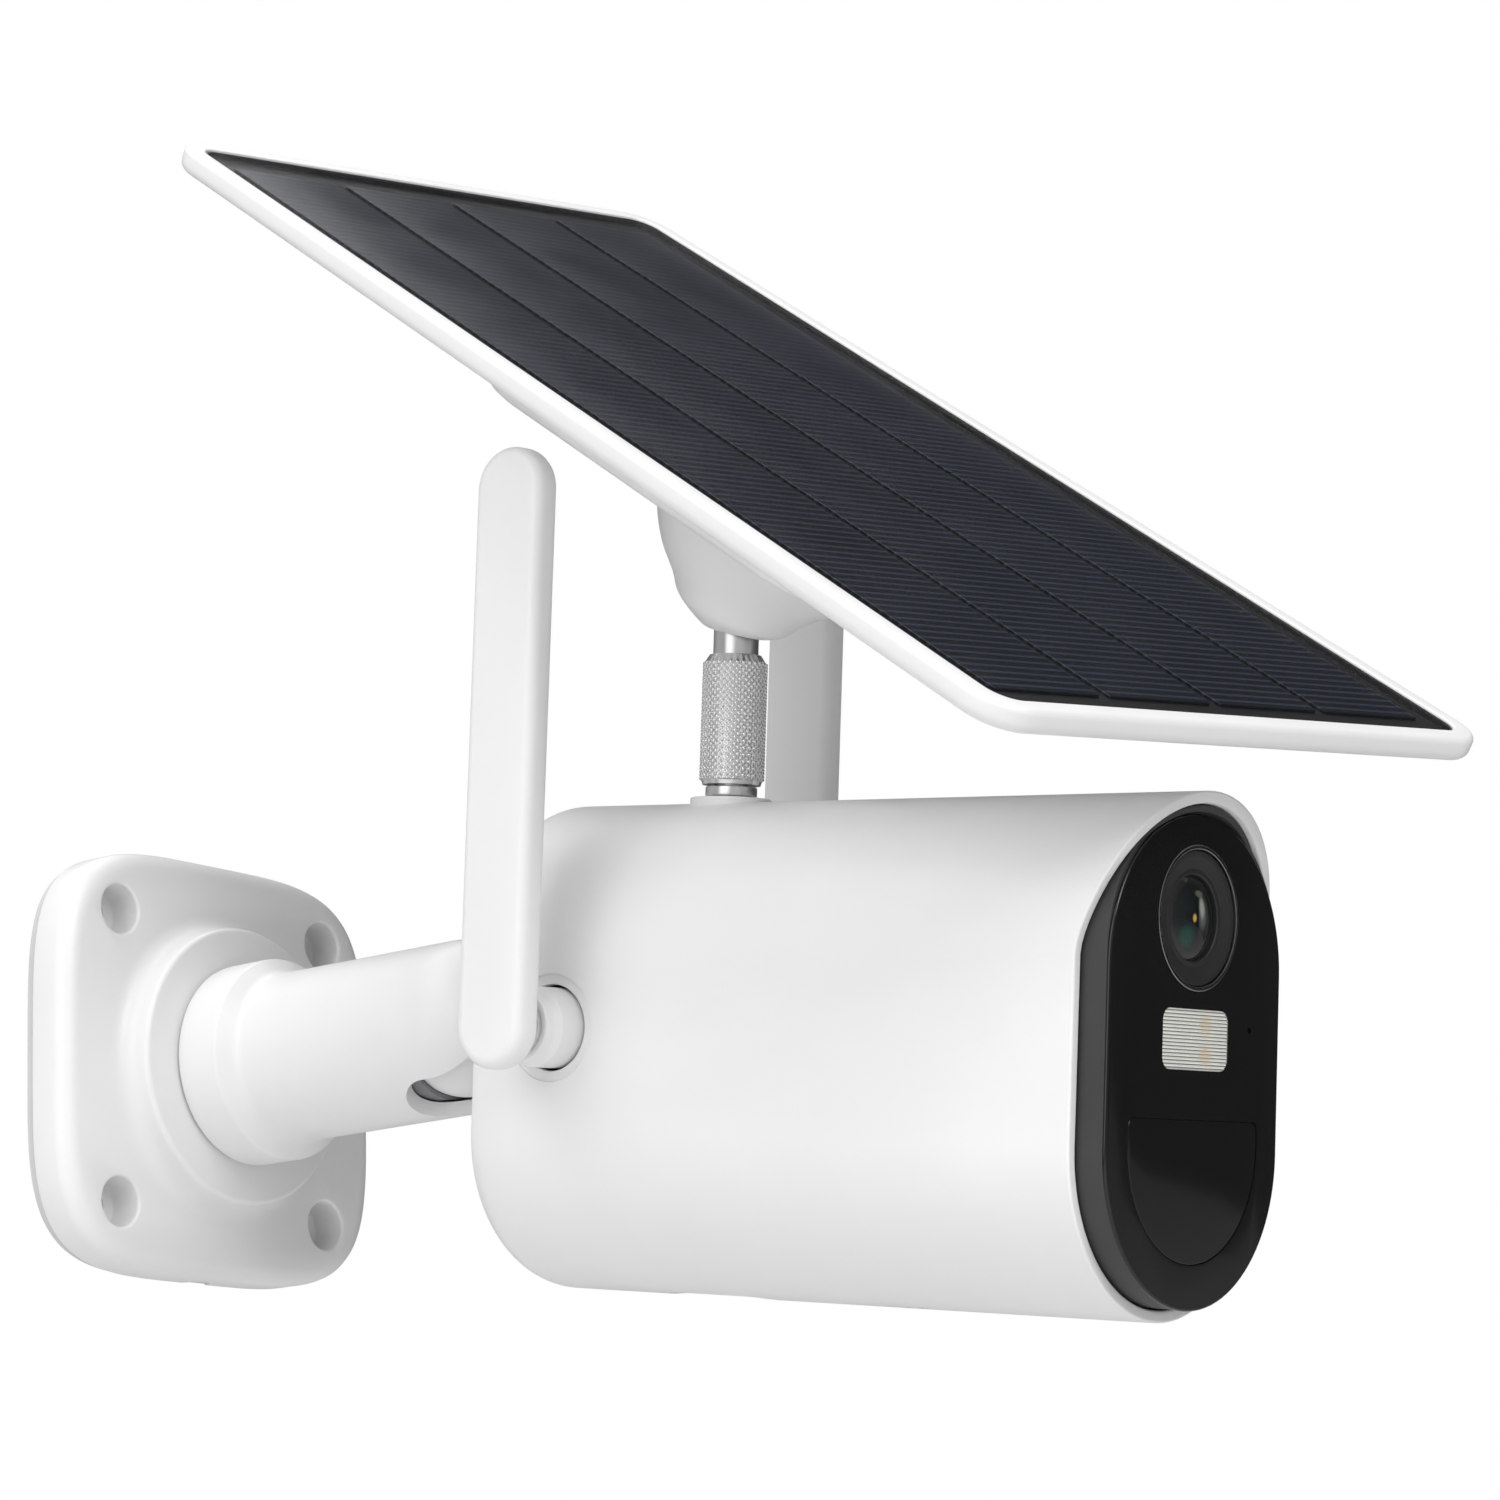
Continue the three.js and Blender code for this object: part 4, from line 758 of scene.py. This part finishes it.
def base_plate():
    outline = squircle(*PLATE_SIZE, PLATE_SQUARENESS)
    plate = prism(outline, "y", -PLATE_THICKNESS, -PLATE_BACK, PLATE_EDGE, 0.3)
    foot = -PLATE_THICKNESS + 0.02
    boss = lathe(
        rounded_path(
            [
                (0, foot + 2, 0),
                (BOSS_TOP_RADIUS + 5, foot + 2, 0),
                (BOSS_TOP_RADIUS + 5, foot, 0),
                (BOSS_TOP_RADIUS - 0.2, foot - 0.02, 3.6),
                (BOSS_TOP_RADIUS, BOSS_TOP, 1.0),
                (0, BOSS_TOP, 0),
            ],
            8,
        )
    )
    join(plate, boss)
    bore, depth = COUNTERBORE
    front = -PLATE_THICKNESS
    for x, z in screw_places():
        profile = rounded_path(
            [
                (0, 5, 0),
                (SCREW_HOLE, 5, 0),
                (SCREW_HOLE, front + depth, 0),
                (bore, front + depth, 0.5),
                (bore, front, 0.6),
                (bore + 3, front - 0.01, 0),
                (bore + 3, front - 3, 0),
                (0, front - 3, 0),
            ],
            4,
        )
        cut(plate, moved(lathe(profile, segments=48), shift(x, 0, z)))
    notch = moved(disc(CABLE_NOTCH, -20, 20, "z", segments=32), shift(0, -PLATE_BACK, -PLATE_SIZE[1] / 2))
    cut(plate, disc(ARM_SPIGOT[0] + GAP, -40, 5), notch)
    finish(plate, "wall_plate", WALL, "wall_base", "white_paint", "base_plate")


def arm_tube():
    back = BOSS_TOP - GAP
    front = back - COLLAR_LENGTH
    spigot, inside = ARM_SPIGOT
    outer = rounded_path(
        [
            (0, back + inside, 0),
            (spigot, back + inside, 0),
            (spigot, back, 0),
            (COLLAR_RADIUS, back, 0.8),
            (COLLAR_RADIUS, front, 1.0),
            (ARM_RADIUS, front - COLLAR_CONE, 3.0),
            (ARM_RADIUS, PIVOT_Y, 0),
        ]
    )
    end = [(r, PIVOT_Y - h) for r, h in globe(ARM_RADIUS, 0)]
    tube = lathe(outer + end[1:])
    cavity = lathe(globe(ARM_BALL + GAP))
    bore = disc(ARM_BALL + GAP, 0, SOCKET_DEPTH)
    hole = disc(LOCK_SCREW + GAP, 0, 40, "z", segments=32)
    tools = [cavity, bore, *swing_slot(SLOT_HALF, 2 * ARM_RADIUS, SLOT_SWING), hole]
    cut(tube, *[moved(tool, shift(0, PIVOT_Y, 0)) for tool in tools])
    finish(tube, "arm", ARM, "arm", "white_paint", "arm_tube")


def ball_stud():
    shoulder = -(NECK_LENGTH - 2 * GAP - LOCK_NUT[1])
    joined = math.sqrt(ARM_BALL**2 - NECK_RADIUS**2)
    tip = -(NECK_LENGTH + THREAD_INSIDE)
    neck = rounded_path(
        [
            (NECK_RADIUS, -joined, 0),
            (NECK_RADIUS, shoulder, 0.6),
            (THREAD_RADIUS, shoulder, 0),
            (THREAD_RADIUS, tip, 0.6),
            (0, tip, 0),
        ]
    )
    ball = [(r, h) for r, h in reversed(globe(ARM_BALL)) if h > -joined]
    finish(lathe(ball + neck), "ball_stud_skin", HEAD, "ball_stud", "white_paint", "camera_ball_stud")


def nut(radius, thickness, high, bore):
    points = [(radius * math.cos(math.pi / 3 * k), radius * math.sin(math.pi / 3 * k)) for k in range(6)]
    made = polygon(points, "y", high - thickness, high)
    reach = radius * 0.93
    form = lathe(
        [(0, high - thickness), (reach, high - thickness), (radius + 0.1, high - thickness + 0.6)]
        + [(radius + 0.1, high - 0.6), (reach, high), (0, high)]
    )
    combine(made, form, "INTERSECT")
    return cut(made, disc(bore, high - 2 * thickness, high + thickness, segments=48))


def lock_nut():
    made = nut(LOCK_NUT[0], LOCK_NUT[1], -(NECK_LENGTH - GAP - LOCK_NUT[1]), THREAD_RADIUS + GAP)
    finish(made, "lock_nut_skin", HEAD, "ball_stud", "white_paint", "lock_nut")


# ---------------------------------------------------------------- camera body

FULL_BODY = stadium(BODY_HALF, BODY_TOP, -BODY_TOP)
LEAN = (MOUTH + HOOD_REACH) / (BODY_TOP - HOOD_START)


def mouth(z):
    """Where the shell's front edge lies at a height; it leans forward over the face as a hood."""
    over = z - HOOD_START
    blended = HOOD_BLEND * math.log1p(math.exp(over / HOOD_BLEND)) if over < 10 else over
    return MOUTH - LEAN * blended


def main_shell():
    rings = []
    quarter = [math.pi / 2 * k / EDGE_STEPS for k in range(EDGE_STEPS + 1)]
    back = [math.pi / 2 * k / 12 for k in range(13)]

    def add(inset, place):
        rings.append([(x, place(z), z) for x, z in FULL_BODY(inset)])

    for a in back:
        inset = BACK_EDGE * (1 - math.sin(a))
        depth = BODY_LENGTH - BACK_EDGE * (1 - math.cos(a))
        add(inset, lambda z, depth=depth: depth)
    rims = [(RIM_EDGE * (1 - math.cos(a)), RIM_EDGE * (1 - math.sin(a))) for a in quarter]
    for inset, setback in rims:
        add(inset, lambda z, setback=setback: mouth(z) + setback)
    for inset, setback in reversed(rims):
        add(SHELL_WALL - inset, lambda z, setback=setback: mouth(z) + setback)
    add(SHELL_WALL, lambda z: BODY_LENGTH - BACK_WALL - 4)
    add(SHELL_WALL + 4, lambda z: BODY_LENGTH - BACK_WALL)
    shell = skin(rings)
    radius, height = STUD_BOSS
    boss = lathe(
        rounded_path(
            [
                (0, BODY_TOP - 1, 0),
                (radius, BODY_TOP - 1, 0),
                (radius, BODY_TOP + height, 0.35),
                (0, BODY_TOP + height, 0),
            ]
        ),
        "z",
    )
    join(shell, moved(boss, shift(0, STUD_AT, 0)))
    recess, depth = HUB_RECESS
    for side in (1, -1):
        profile = rounded_path(
            [
                (0, 10, 0),
                (HUB_RADIUS + GAP, 10, 0),
                (HUB_RADIUS + GAP, BODY_HALF - depth, 0.2),
                (recess, BODY_HALF - depth, 0.08),
                (recess, BODY_HALF, 0.12),
                (recess + 3, BODY_HALF + 0.01, 0),
                (recess + 3, BODY_HALF + 3, 0),
                (0, BODY_HALF + 3, 0),
            ],
            3,
        )
        tool = moved(lathe([(r, side * h) for r, h in profile], "x"), shift(0, *HUB_AT))
        cut(shell, tool)
    cut(shell, moved(disc(THREAD_RADIUS + GAP, 100, 140, segments=48), shift(0, 0, NECK_HEIGHT)))
    cut(shell, moved(disc(STUD_RADIUS + GAP, 30, 60, "z", segments=32), shift(0, STUD_AT, 0)))
    for column in (-1, 0, 1):
        for row in (-1, 0, 1):
            hole = disc(SPEAKER_HOLE, -50, -30, "z", segments=20)
            cut(shell, moved(hole, shift(SPEAKER_PITCH * column, SPEAKER_AT + SPEAKER_PITCH * row, 0)))
    cut(shell, moved(prism(rectangle(*PORT), "z", -50, -30), shift(0, PORT_AT, 0)))
    finish(shell, "body_shell", BODY, "camera", "white_shell", "main_shell")


def port_cover():
    width, length, radius = PORT
    outline = rectangle(width - 2 * GAP, length - 2 * GAP, radius - GAP)
    plug = moved(prism(outline, "z", -43, -39), shift(0, PORT_AT, 0))
    inside = stadium(BODY_HALF - GAP, BODY_TOP - GAP, GAP - BODY_TOP)
    combine(plug, prism(inside, "y", 60, 120), "INTERSECT")
    finish(plug, "port_cover_skin", BODY, "camera", "white_shell", "port_cover")


def front_bezel():
    inset = SHELL_WALL + GAP
    front = FACE_SHOWN + 0.05
    made = prism(
        stadium(BODY_HALF - inset, BODY_TOP - inset, inset - BODY_TOP), "y", -8, BEZEL_DEPTH, 0, 0.3
    )
    start = MOUTH + LINER_SETBACK
    meet = HOOD_START + (start - front) / LEAN
    clear = [(-60, -60), (front, -60), (front, meet), (start - LEAN * (60 - HOOD_START), 60), (-60, 60)]
    cut(made, polygon(clear, "x", -60, 60))
    seat = stadium(FACE_HALF + GAP, FACE_TOP + GAP, FACE_BOTTOM - GAP)
    cut(made, prism(seat, "y", -20, front))
    lens_hole = moved(disc(LENS_RING[1] + GAP, -5, 20), shift(0, 0, LENS_HEIGHT))
    window_hole = moved(prism(led_outline(0), "y", -5, 20), shift(0, 0, LED_WINDOW_HEIGHT))
    cut(made, lens_hole, window_hole)
    finish(made, "bezel", BODY, "camera", "matte_black", "front_bezel", look="bezel_black")


def led_outline(clearance):
    width, height = LED_WINDOW
    return rectangle(width + 2 * clearance, height + 2 * clearance, LED_WINDOW_CORNER + clearance)


def face_plate():
    plate = prism(stadium(FACE_HALF, FACE_TOP, FACE_BOTTOM), "y", 0, FACE_SHOWN, FACE_EDGE, 0.05)
    cut(
        plate,
        moved(disc(LENS_RING[1] + 0.12, -5, 9), shift(0, 0, LENS_HEIGHT)),
        moved(disc(MIC_HOLE, -5, 9, segments=24), shift(MIC_AT[0], 0, MIC_AT[1])),
        moved(prism(led_outline(0.12), "y", -5, 9), shift(0, 0, LED_WINDOW_HEIGHT)),
        prism(lambda inset: sensor_outline(inset - 0.15), "y", -5, 9),
    )
    finish(plate, "face", BODY, "camera", "gloss_black", "face_plate")
    window = prism(sensor_outline, "y", 0.02, FACE_SHOWN, 0.15, 0.05)
    finish(window, "sensor_window", BODY, "camera", "gloss_black", "pir_window")


def lens():
    at = BODY @ shift(0, 0, LENS_HEIGHT)
    inner, outer = LENS_RING
    lip = TRIM_LIP
    trim = [
        (inner, FACE_THICKNESS),
        (inner, -0.08),
        (inner + lip, -0.14),
        (inner + 1.4 * lip, 0.2),
        (outer - 1.4 * lip, 0.2),
        (outer - lip, -0.14),
        (outer, -0.08),
        (outer, FACE_THICKNESS),
    ]
    made = lathe(trim, closed=True)
    finish(made, "lens_trim", at, "camera", "bright_metal", "lens_ring", look="trim_metal")
    band = ring(outer - 1.5 * lip, inner + 1.5 * lip, 0.08, 0.3, edge=0.05)
    finish(band, "lens_trim_band", at, "camera", "matte_black")
    rim = inner - GAP / 2
    throat = LENS_GLASS + 0.1
    hood = rounded_path(
        [
            (rim, 1.0, 0),
            (rim, 0.15, 0.2),
            (rim - 1.0, 0.35, 0.3),
            (throat + 0.9, 0.95, 0.5),
            (throat, 0.8, 0.25),
            (throat, SHROUD_BACK, 0),
            (rim, SHROUD_BACK, 0),
            (rim, 1.0, 0),
        ],
        4,
    )
    finish(lathe(hood[:-1], closed=True), "lens_hood", at, "camera", "matte_black", "lens_shroud")
    front = SHROUD_BACK - LENS_DOME - 0.9
    dome = [(LENS_GLASS * k / 24, front + LENS_DOME * (k / 24) ** 2) for k in range(25)]
    glass = lathe([*dome, (LENS_GLASS, SHROUD_BACK - 0.2), (0, SHROUD_BACK - 0.2)])
    finish(glass, "front_lens", at, "camera", "lens_glass", "lens_glass", face="xz")
    start = SHROUD_BACK + GAP
    barrel = disc(BARREL_RADIUS, start, start + BARREL_LENGTH, edge=0.4)
    finish(barrel, "lens_barrel_skin", at, "camera", "matte_black", "lens_barrel")


def led_window():
    width, height = LED_WINDOW
    rows = int(height / RIB_PITCH) + 2
    low = -rows * RIB_PITCH / 2
    scallop = 6
    profile = []
    for k in range(rows * scallop + 1):
        share = k % scallop / scallop
        depth = 0.03 + RIB_DEPTH * (1 - math.sin(math.pi * share))
        profile.append((depth, low + k * RIB_PITCH / scallop))
    profile += [(FACE_THICKNESS, -low), (FACE_THICKNESS, low)]
    plate = polygon(profile, "x", -width, width)
    combine(plate, prism(led_outline(0), "y", -1, 3), "INTERSECT")
    at = BODY @ shift(0, 0, LED_WINDOW_HEIGHT)
    finish(plate, "light_window", at, "camera", "clear_window", "led_window", face="xz")
    board = prism(led_outline(0), "y", LED_BOARD_FRONT, LED_BOARD_FRONT + 1)
    finish(board, "light_board", at, "camera", "green_board", "led_board", look="white_board")
    front = LED_BOARD_FRONT - GAP - 1
    cup = prism(led_outline(0.6), "y", FACE_THICKNESS + 0.4, LED_BOARD_FRONT - 0.1)
    cut(cup, prism(led_outline(-0.2), "y", 0, LED_BOARD_FRONT + 1))
    finish(cup, "light_cup", at, "camera", "clear_window", look="white_board")
    for name, side in (("led_upper", 1), ("led_lower", -1)):
        chip = prism(rectangle(LED_SIZE, LED_SIZE, 0.5), "y", front, front + 1, 0.3, 0)
        place = at @ shift(LED_OFFSET, 0, side * LED_PITCH / 2)
        finish(chip, name + "_chip", place, "camera", "led", name)


# ---------------------------------------------------------------- antennas


def antennas():
    for side, name in ((1, "left"), (-1, "right")):
        at = BODY @ shift(0, *HUB_AT)
        knob = [
            (0, HUB_START, 0),
            (HUB_RADIUS - 0.2, HUB_START, 0),
            (HUB_RADIUS - 0.2, HUB_REACH - 3.0, 0.5),
            (HUB_NOSE + 0.25, HUB_REACH - 1.8, 0.4),
            (HUB_NOSE, HUB_REACH, 0.3),
            (PIVOT_HOLE, HUB_REACH, 0),
            (PIVOT_HOLE, HUB_START + 0.5, 0),
            (0, HUB_START + 0.5, 0),
        ]
        profile = [(r, side * h) for r, h in rounded_path(knob)]
        finish(lathe(profile, "x"), f"{name}_hub", at, "camera", "white_shell", f"{name}_antenna_hub")
        radius, thickness = PIVOT_WASHER
        low = HUB_REACH + GAP
        washer = ring(radius, 2.45, side * low, side * (low + thickness), "x", 0.15)
        finish(washer, f"{name}_washer", at, f"{name}_antenna", "steel", f"{name}_pivot_washer")
        body = f"{name}_antenna"
        ends = sorted((side * ANTENNA_INNER, side * (ANTENNA_INNER + ANTENNA_THICKNESS)))
        top = ANTENNA_LENGTH - ANTENNA_HALF - TIP_INSET
        outline = stadium(ANTENNA_HALF - PADDLE_INSET, top, -ANTENNA_HALF)
        paddle = prism(outline, "x", *ends, ANTENNA_EDGE, ANTENNA_EDGE)
        boss_start = low + thickness + GAP
        ends = sorted((side * boss_start, side * (ANTENNA_INNER + 1)))
        join(paddle, disc(ANTENNA_BOSS, *ends, "x", 0.2))
        ends = sorted((0, side * (ANTENNA_INNER + ANTENNA_THICKNESS / 2 + GAP)))
        cut(paddle, disc(PIVOT_HOLE, *ends, "x", segments=32))
        finish(paddle, f"{name}_paddle", at, body, "white_shell", f"{name}_antenna")


# ---------------------------------------------------------------- stud, sleeve and ball

COLLAR_BOTTOM = BODY_TOP + STUD_BOSS[1] + GAP
COLLAR_TOP = COLLAR_BOTTOM + STUD_COLLAR[1]
SLEEVE_BOTTOM = COLLAR_TOP + GAP
SLEEVE_TOP = SLEEVE_BOTTOM + SLEEVE_LENGTH
STUD_TOP = SLEEVE_BOTTOM + 13.0


def panel_stud():
    at = BODY @ shift(0, STUD_AT, 0)
    radius = STUD_COLLAR[0]
    profile = rounded_path(
        [
            (0, 33, 0),
            (STUD_RADIUS, 33, 0.3),
            (STUD_RADIUS, COLLAR_BOTTOM, 0),
            (radius, COLLAR_BOTTOM, 0.25),
            (radius, COLLAR_TOP, 0.25),
            (STUD_RADIUS, COLLAR_TOP, 0),
            (STUD_RADIUS, STUD_TOP, 0.3),
            (0, STUD_TOP, 0),
        ]
    )
    finish(lathe(profile, "z"), "stud", at, "camera", "bright_metal", "panel_stud")


def knurled_sleeve():
    """A sleeve whose outside is cut by two crossing sets of helical grooves."""
    around = 12 * KNURLS
    rise = 2 * math.pi * SLEEVE_RADIUS / KNURLS
    low = SLEEVE_BOTTOM + 0.9
    high = SLEEVE_TOP - SLEEVE_CHAMFER - 0.3
    rows = int((high - low) / rise * 9)
    rings = []

    def plain_ring(radius, height):
        rings.append([(radius, height)] * around)

    plain_ring(STUD_RADIUS + GAP, SLEEVE_BOTTOM)
    plain_ring(SLEEVE_RADIUS - 0.6, SLEEVE_BOTTOM)
    plain_ring(SLEEVE_RADIUS - KNURL_DEPTH, low - 0.25)
    for row in range(rows + 1):
        height = low + (high - low) * row / rows
        ring_points = []
        for k in range(around):
            turnings = KNURLS * k / around
            climb = (height - low) / rise
            waves = [abs((turnings + climb * s) % 1 - 0.5) * 2 for s in (1, -1)]
            ring_points.append((SLEEVE_RADIUS - KNURL_DEPTH * max(waves) ** 3, height))
        rings.append(ring_points)
    plain_ring(SLEEVE_RADIUS - KNURL_DEPTH, high + 0.25)
    plain_ring(SLEEVE_RADIUS - SLEEVE_CHAMFER, SLEEVE_TOP)
    plain_ring(STEM_RADIUS + GAP, SLEEVE_TOP)
    plain_ring(STEM_RADIUS + GAP, STUD_TOP + GAP)
    plain_ring(STUD_RADIUS + GAP, STUD_TOP + GAP)
    placed = []
    for ring_points in rings:
        points = []
        for k, (radius, height) in enumerate(ring_points):
            angle = 2 * math.pi * k / around
            points.append((radius * math.cos(angle), radius * math.sin(angle), height))
        placed.append(points)
    made = skin(placed, closed=True)
    at = BODY @ shift(0, STUD_AT, 0)
    finish(made, "knurled_lock_sleeve", at, "lock_sleeve", "knurled_aluminium", "knurled_sleeve")


def ball_stem():
    centre = BODY_TOP + PANEL_BALL_HEIGHT
    rise = math.sqrt(PANEL_BALL**2 - STEM_RADIUS**2)
    low = math.degrees(math.asin(-rise / PANEL_BALL))
    ball = [(r, centre + h) for r, h in globe(PANEL_BALL, low)]
    bottom = STUD_TOP + 2 * GAP
    stem = rounded_path([(0, bottom, 0), (STEM_RADIUS, bottom, 0.4), (STEM_RADIUS, centre - rise, 0)])
    made = lathe(stem[:-1] + ball, "z")
    finish(made, "stem", BODY @ shift(0, STUD_AT, 0), "panel_stem", "bright_metal", "ball_stem")


# ---------------------------------------------------------------- solar panel

TRAY_TOP = PANEL_TOP + RIM_PROUD
TRAY_BOTTOM = TRAY_TOP - TRAY_HEIGHT


def panel_tray():
    outline = rectangle(PANEL_WIDTH, PANEL_LENGTH, PANEL_CORNER)
    floor = TRAY_BOTTOM + TRAY_FLOOR
    section = rounded_path(
        [
            (30, TRAY_BOTTOM, 0),
            (0, TRAY_BOTTOM, TRAY_EDGE),
            (0, TRAY_TOP, 1.0),
            (RIM_WIDTH, TRAY_TOP, 0.3),
            (RIM_WIDTH, floor, 0),
            (30, floor, 0),
        ],
        7,
    )[1:-1]
    rings = [[(x, y, height) for x, y in outline(inset)] for inset, height in section]
    tray = skin(rings)
    width, length, radius = PLATEAU
    top = TRAY_BOTTOM + TRAY_FLOOR / 2
    bump = prism(rectangle(width, length, radius), "z", PLATEAU_BOTTOM, top, PLATEAU_EDGE, 0)
    join(tray, moved(bump, shift(0, PLATEAU_SHIFT, 0)))
    finish(tray, "tray", PANEL, "panel", "white_shell", "panel_tray")


def socket_housing():
    foot_top = PLATEAU_BOTTOM - GAP
    housing = prism(rectangle(*FOOT), "z", FOOT_BOTTOM, foot_top, FOOT_EDGE, 0.2)
    moved(housing, shift(0, FOOT_SHIFT, 0))
    rings = []
    for across, long, y, z in smooth_path(CUP_SECTIONS):
        angles = [2 * math.pi * k / FINE for k in range(FINE)]
        rings.append([(across * math.cos(a), y + long * math.sin(a), z) for a in angles])
    join(housing, skin(rings))
    slot = [moved(tool, turn("X", 90)) for tool in swing_slot(STEM_RADIUS + 3 * GAP, 36, PANEL_SLOT)]
    cut(housing, lathe(globe(PANEL_BALL + GAP), "z"), disc(PANEL_BALL + GAP, 0, foot_top + 1, "z"), *slot)
    finish(housing, "ball_housing", PANEL, "panel", "white_shell", "socket_housing")


def panel_face():
    """Cells close under a thin clear sheet, with a black edging between the sheet and the rim."""
    inset = RIM_WIDTH + GAP / 2
    outline = rectangle(PANEL_WIDTH - 2 * inset, PANEL_LENGTH - 2 * inset, PANEL_CORNER - inset)
    board_top = PANEL_TOP - PANEL_SHEET - CELL_BELOW_SHEET
    edging = prism(outline, "z", board_top + 0.05, PANEL_TOP - 0.02)
    cut(edging, prism(lambda step: outline(step + EDGING), "z", board_top - 1, PANEL_TOP + 1))
    finish(edging, "panel_edging", PANEL, "panel", "dark_board", look="matte_black")
    bottom = PANEL_TOP - PANEL_SHEET
    sheet = prism(lambda step: outline(step + EDGING + 0.05), "z", bottom, PANEL_TOP, 0, 0.1)
    finish(sheet, "clear_sheet", PANEL, "panel", "panel_glass", "panel_glass")
    backing = prism(outline, "z", BOARD_BOTTOM, board_top)
    finish(backing, "backing", PANEL, "panel", "dark_board", "backing_board", look="matte_black")
    width, length = CELL_STRIP
    bottom = board_top + 0.1
    for k in range(4):
        strip = prism(rectangle(width, length, 0.6), "z", bottom, bottom + CELL_THICKNESS, 0, 0.1)
        moved(strip, shift((k - 1.5) * CELL_PITCH, 0, 0))
        finish(strip, f"cell_strip_{k + 1}", PANEL, "panel", "solar_cell", f"solar_cell_strip_{k + 1}")


# ---------------------------------------------------------------- the rest of the CAD nodes


def finish_plain_nodes():
    """Inner pieces keep their CAD shape and get the finish of their slot."""
    slots = {row["node"]: row["material_slot"] for row in frame["record"]["subparts"]}
    for name, shown in frame["nodes"].items():
        if not shown.hide_render:
            shown.data.materials.clear()
            shown.data.materials.append(FINISHES[slots[name]])


# ---------------------------------------------------------------- stage


def area_light(name, place, target, size, power):
    light = bpy.data.lights.new(name, "AREA")
    light.shape = "RECTANGLE"
    light.size, light.size_y = size
    light.energy = power
    lamp = bpy.data.objects.new(name, light)
    lamp.location = place
    lamp.rotation_mode = "QUATERNION"
    lamp.rotation_quaternion = (Vector(target) - Vector(place)).to_track_quat("-Z", "Y")
    bpy.context.scene.collection.objects.link(lamp)


DARK_SIDE = (0.77, 0.0, 0.2)  # where the surround is darkest, beyond the panel and the black face
FLOOR = (6.0, 0.3)  # half its side, and how far below the object it lies, in metres


def stage():
    """A white backdrop for the camera, a softer grey surround, and large soft lights."""
    scene = bpy.context.scene
    scene.view_settings.view_transform = "Standard"
    world = bpy.data.worlds.new("studio")
    world.use_nodes = True
    surround = world.node_tree.nodes["Background"]
    surround.inputs["Color"].default_value = (1, 1, 1, 1)
    place = node(world, "ShaderNodeTexCoord")
    toward = node(world, "ShaderNodeVectorMath", operation="DOT_PRODUCT")
    toward.inputs[1].default_value = DARK_SIDE
    wire(world, place, "Generated", toward, 0)
    wire(world, ranged(world, toward, "Value", (-0.2, 0.6), (0.5, 0.07)), "Result", surround, "Strength")
    backdrop = node(world, "ShaderNodeBackground", Color=(1, 1, 1, 1), Strength=1.0)
    path = node(world, "ShaderNodeLightPath")
    mixed = node(world, "ShaderNodeMixShader")
    wire(world, path, "Is Camera Ray", mixed, "Fac")
    wire(world, surround, "Background", mixed, 1)
    wire(world, backdrop, "Background", mixed, 2)
    wire(world, mixed, "Shader", world.node_tree.nodes["World Output"], "Surface")
    scene.world = world
    mesh = bpy.data.meshes.new("floor")
    reach, below = FLOOR
    height = CAD_BOX[0].z - below
    corners = [(x * reach, y * reach, height) for x, y in ((-1, -1), (1, -1), (1, 1), (-1, 1))]
    mesh.from_pydata(corners, [], [(0, 1, 2, 3)])
    floor = link("floor", mesh)
    mesh.materials.append(plain("floor", (0.8, 0.8, 0.8), (0.84, 0.84, 0.84), (0.6, 0.75), 200.0, 0.05))
    middle = (0, -0.13, 0.04)
    area_light("key", (-1.3, -0.2, 0.35), middle, (1.2, 1.2), 6.4)
    area_light("front", (-0.5, -1.3, 0.8), middle, (0.8, 0.8), 12)
    area_light("upper_left", (-0.9, 0.1, 1.2), middle, (0.9, 0.9), 5)
    area_light("top", (0.1, 0.2, 1.4), middle, (1.2, 1.2), 9)


def camera():
    data = bpy.data.cameras.new("camera")
    data.lens = 108.0
    data.sensor_width = 36.0
    data.clip_start = 0.01
    right = Vector((0.61165, -0.79036, -0.03478))
    up = Vector((-0.16374, -0.16949, 0.97183))
    ahead = right.cross(up) * -1
    made = bpy.data.objects.new("camera", data)
    basis = Matrix((right, up, -ahead)).transposed()
    made.matrix_world = Matrix.Translation(Vector((-600.36, -592.98, -141.28)) * MM) @ basis.to_4x4()
    bpy.context.scene.collection.objects.link(made)
    bpy.context.scene.camera = made


# ---------------------------------------------------------------- the object

camera()
stage()
wall_gasket()
base_plate()
arm_tube()
ball_stud()
lock_nut()
main_shell()
port_cover()
front_bezel()
face_plate()
lens()
led_window()
antennas()
panel_stud()
knurled_sleeve()
ball_stem()
panel_tray()
socket_housing()
panel_face()
finish_plain_nodes()
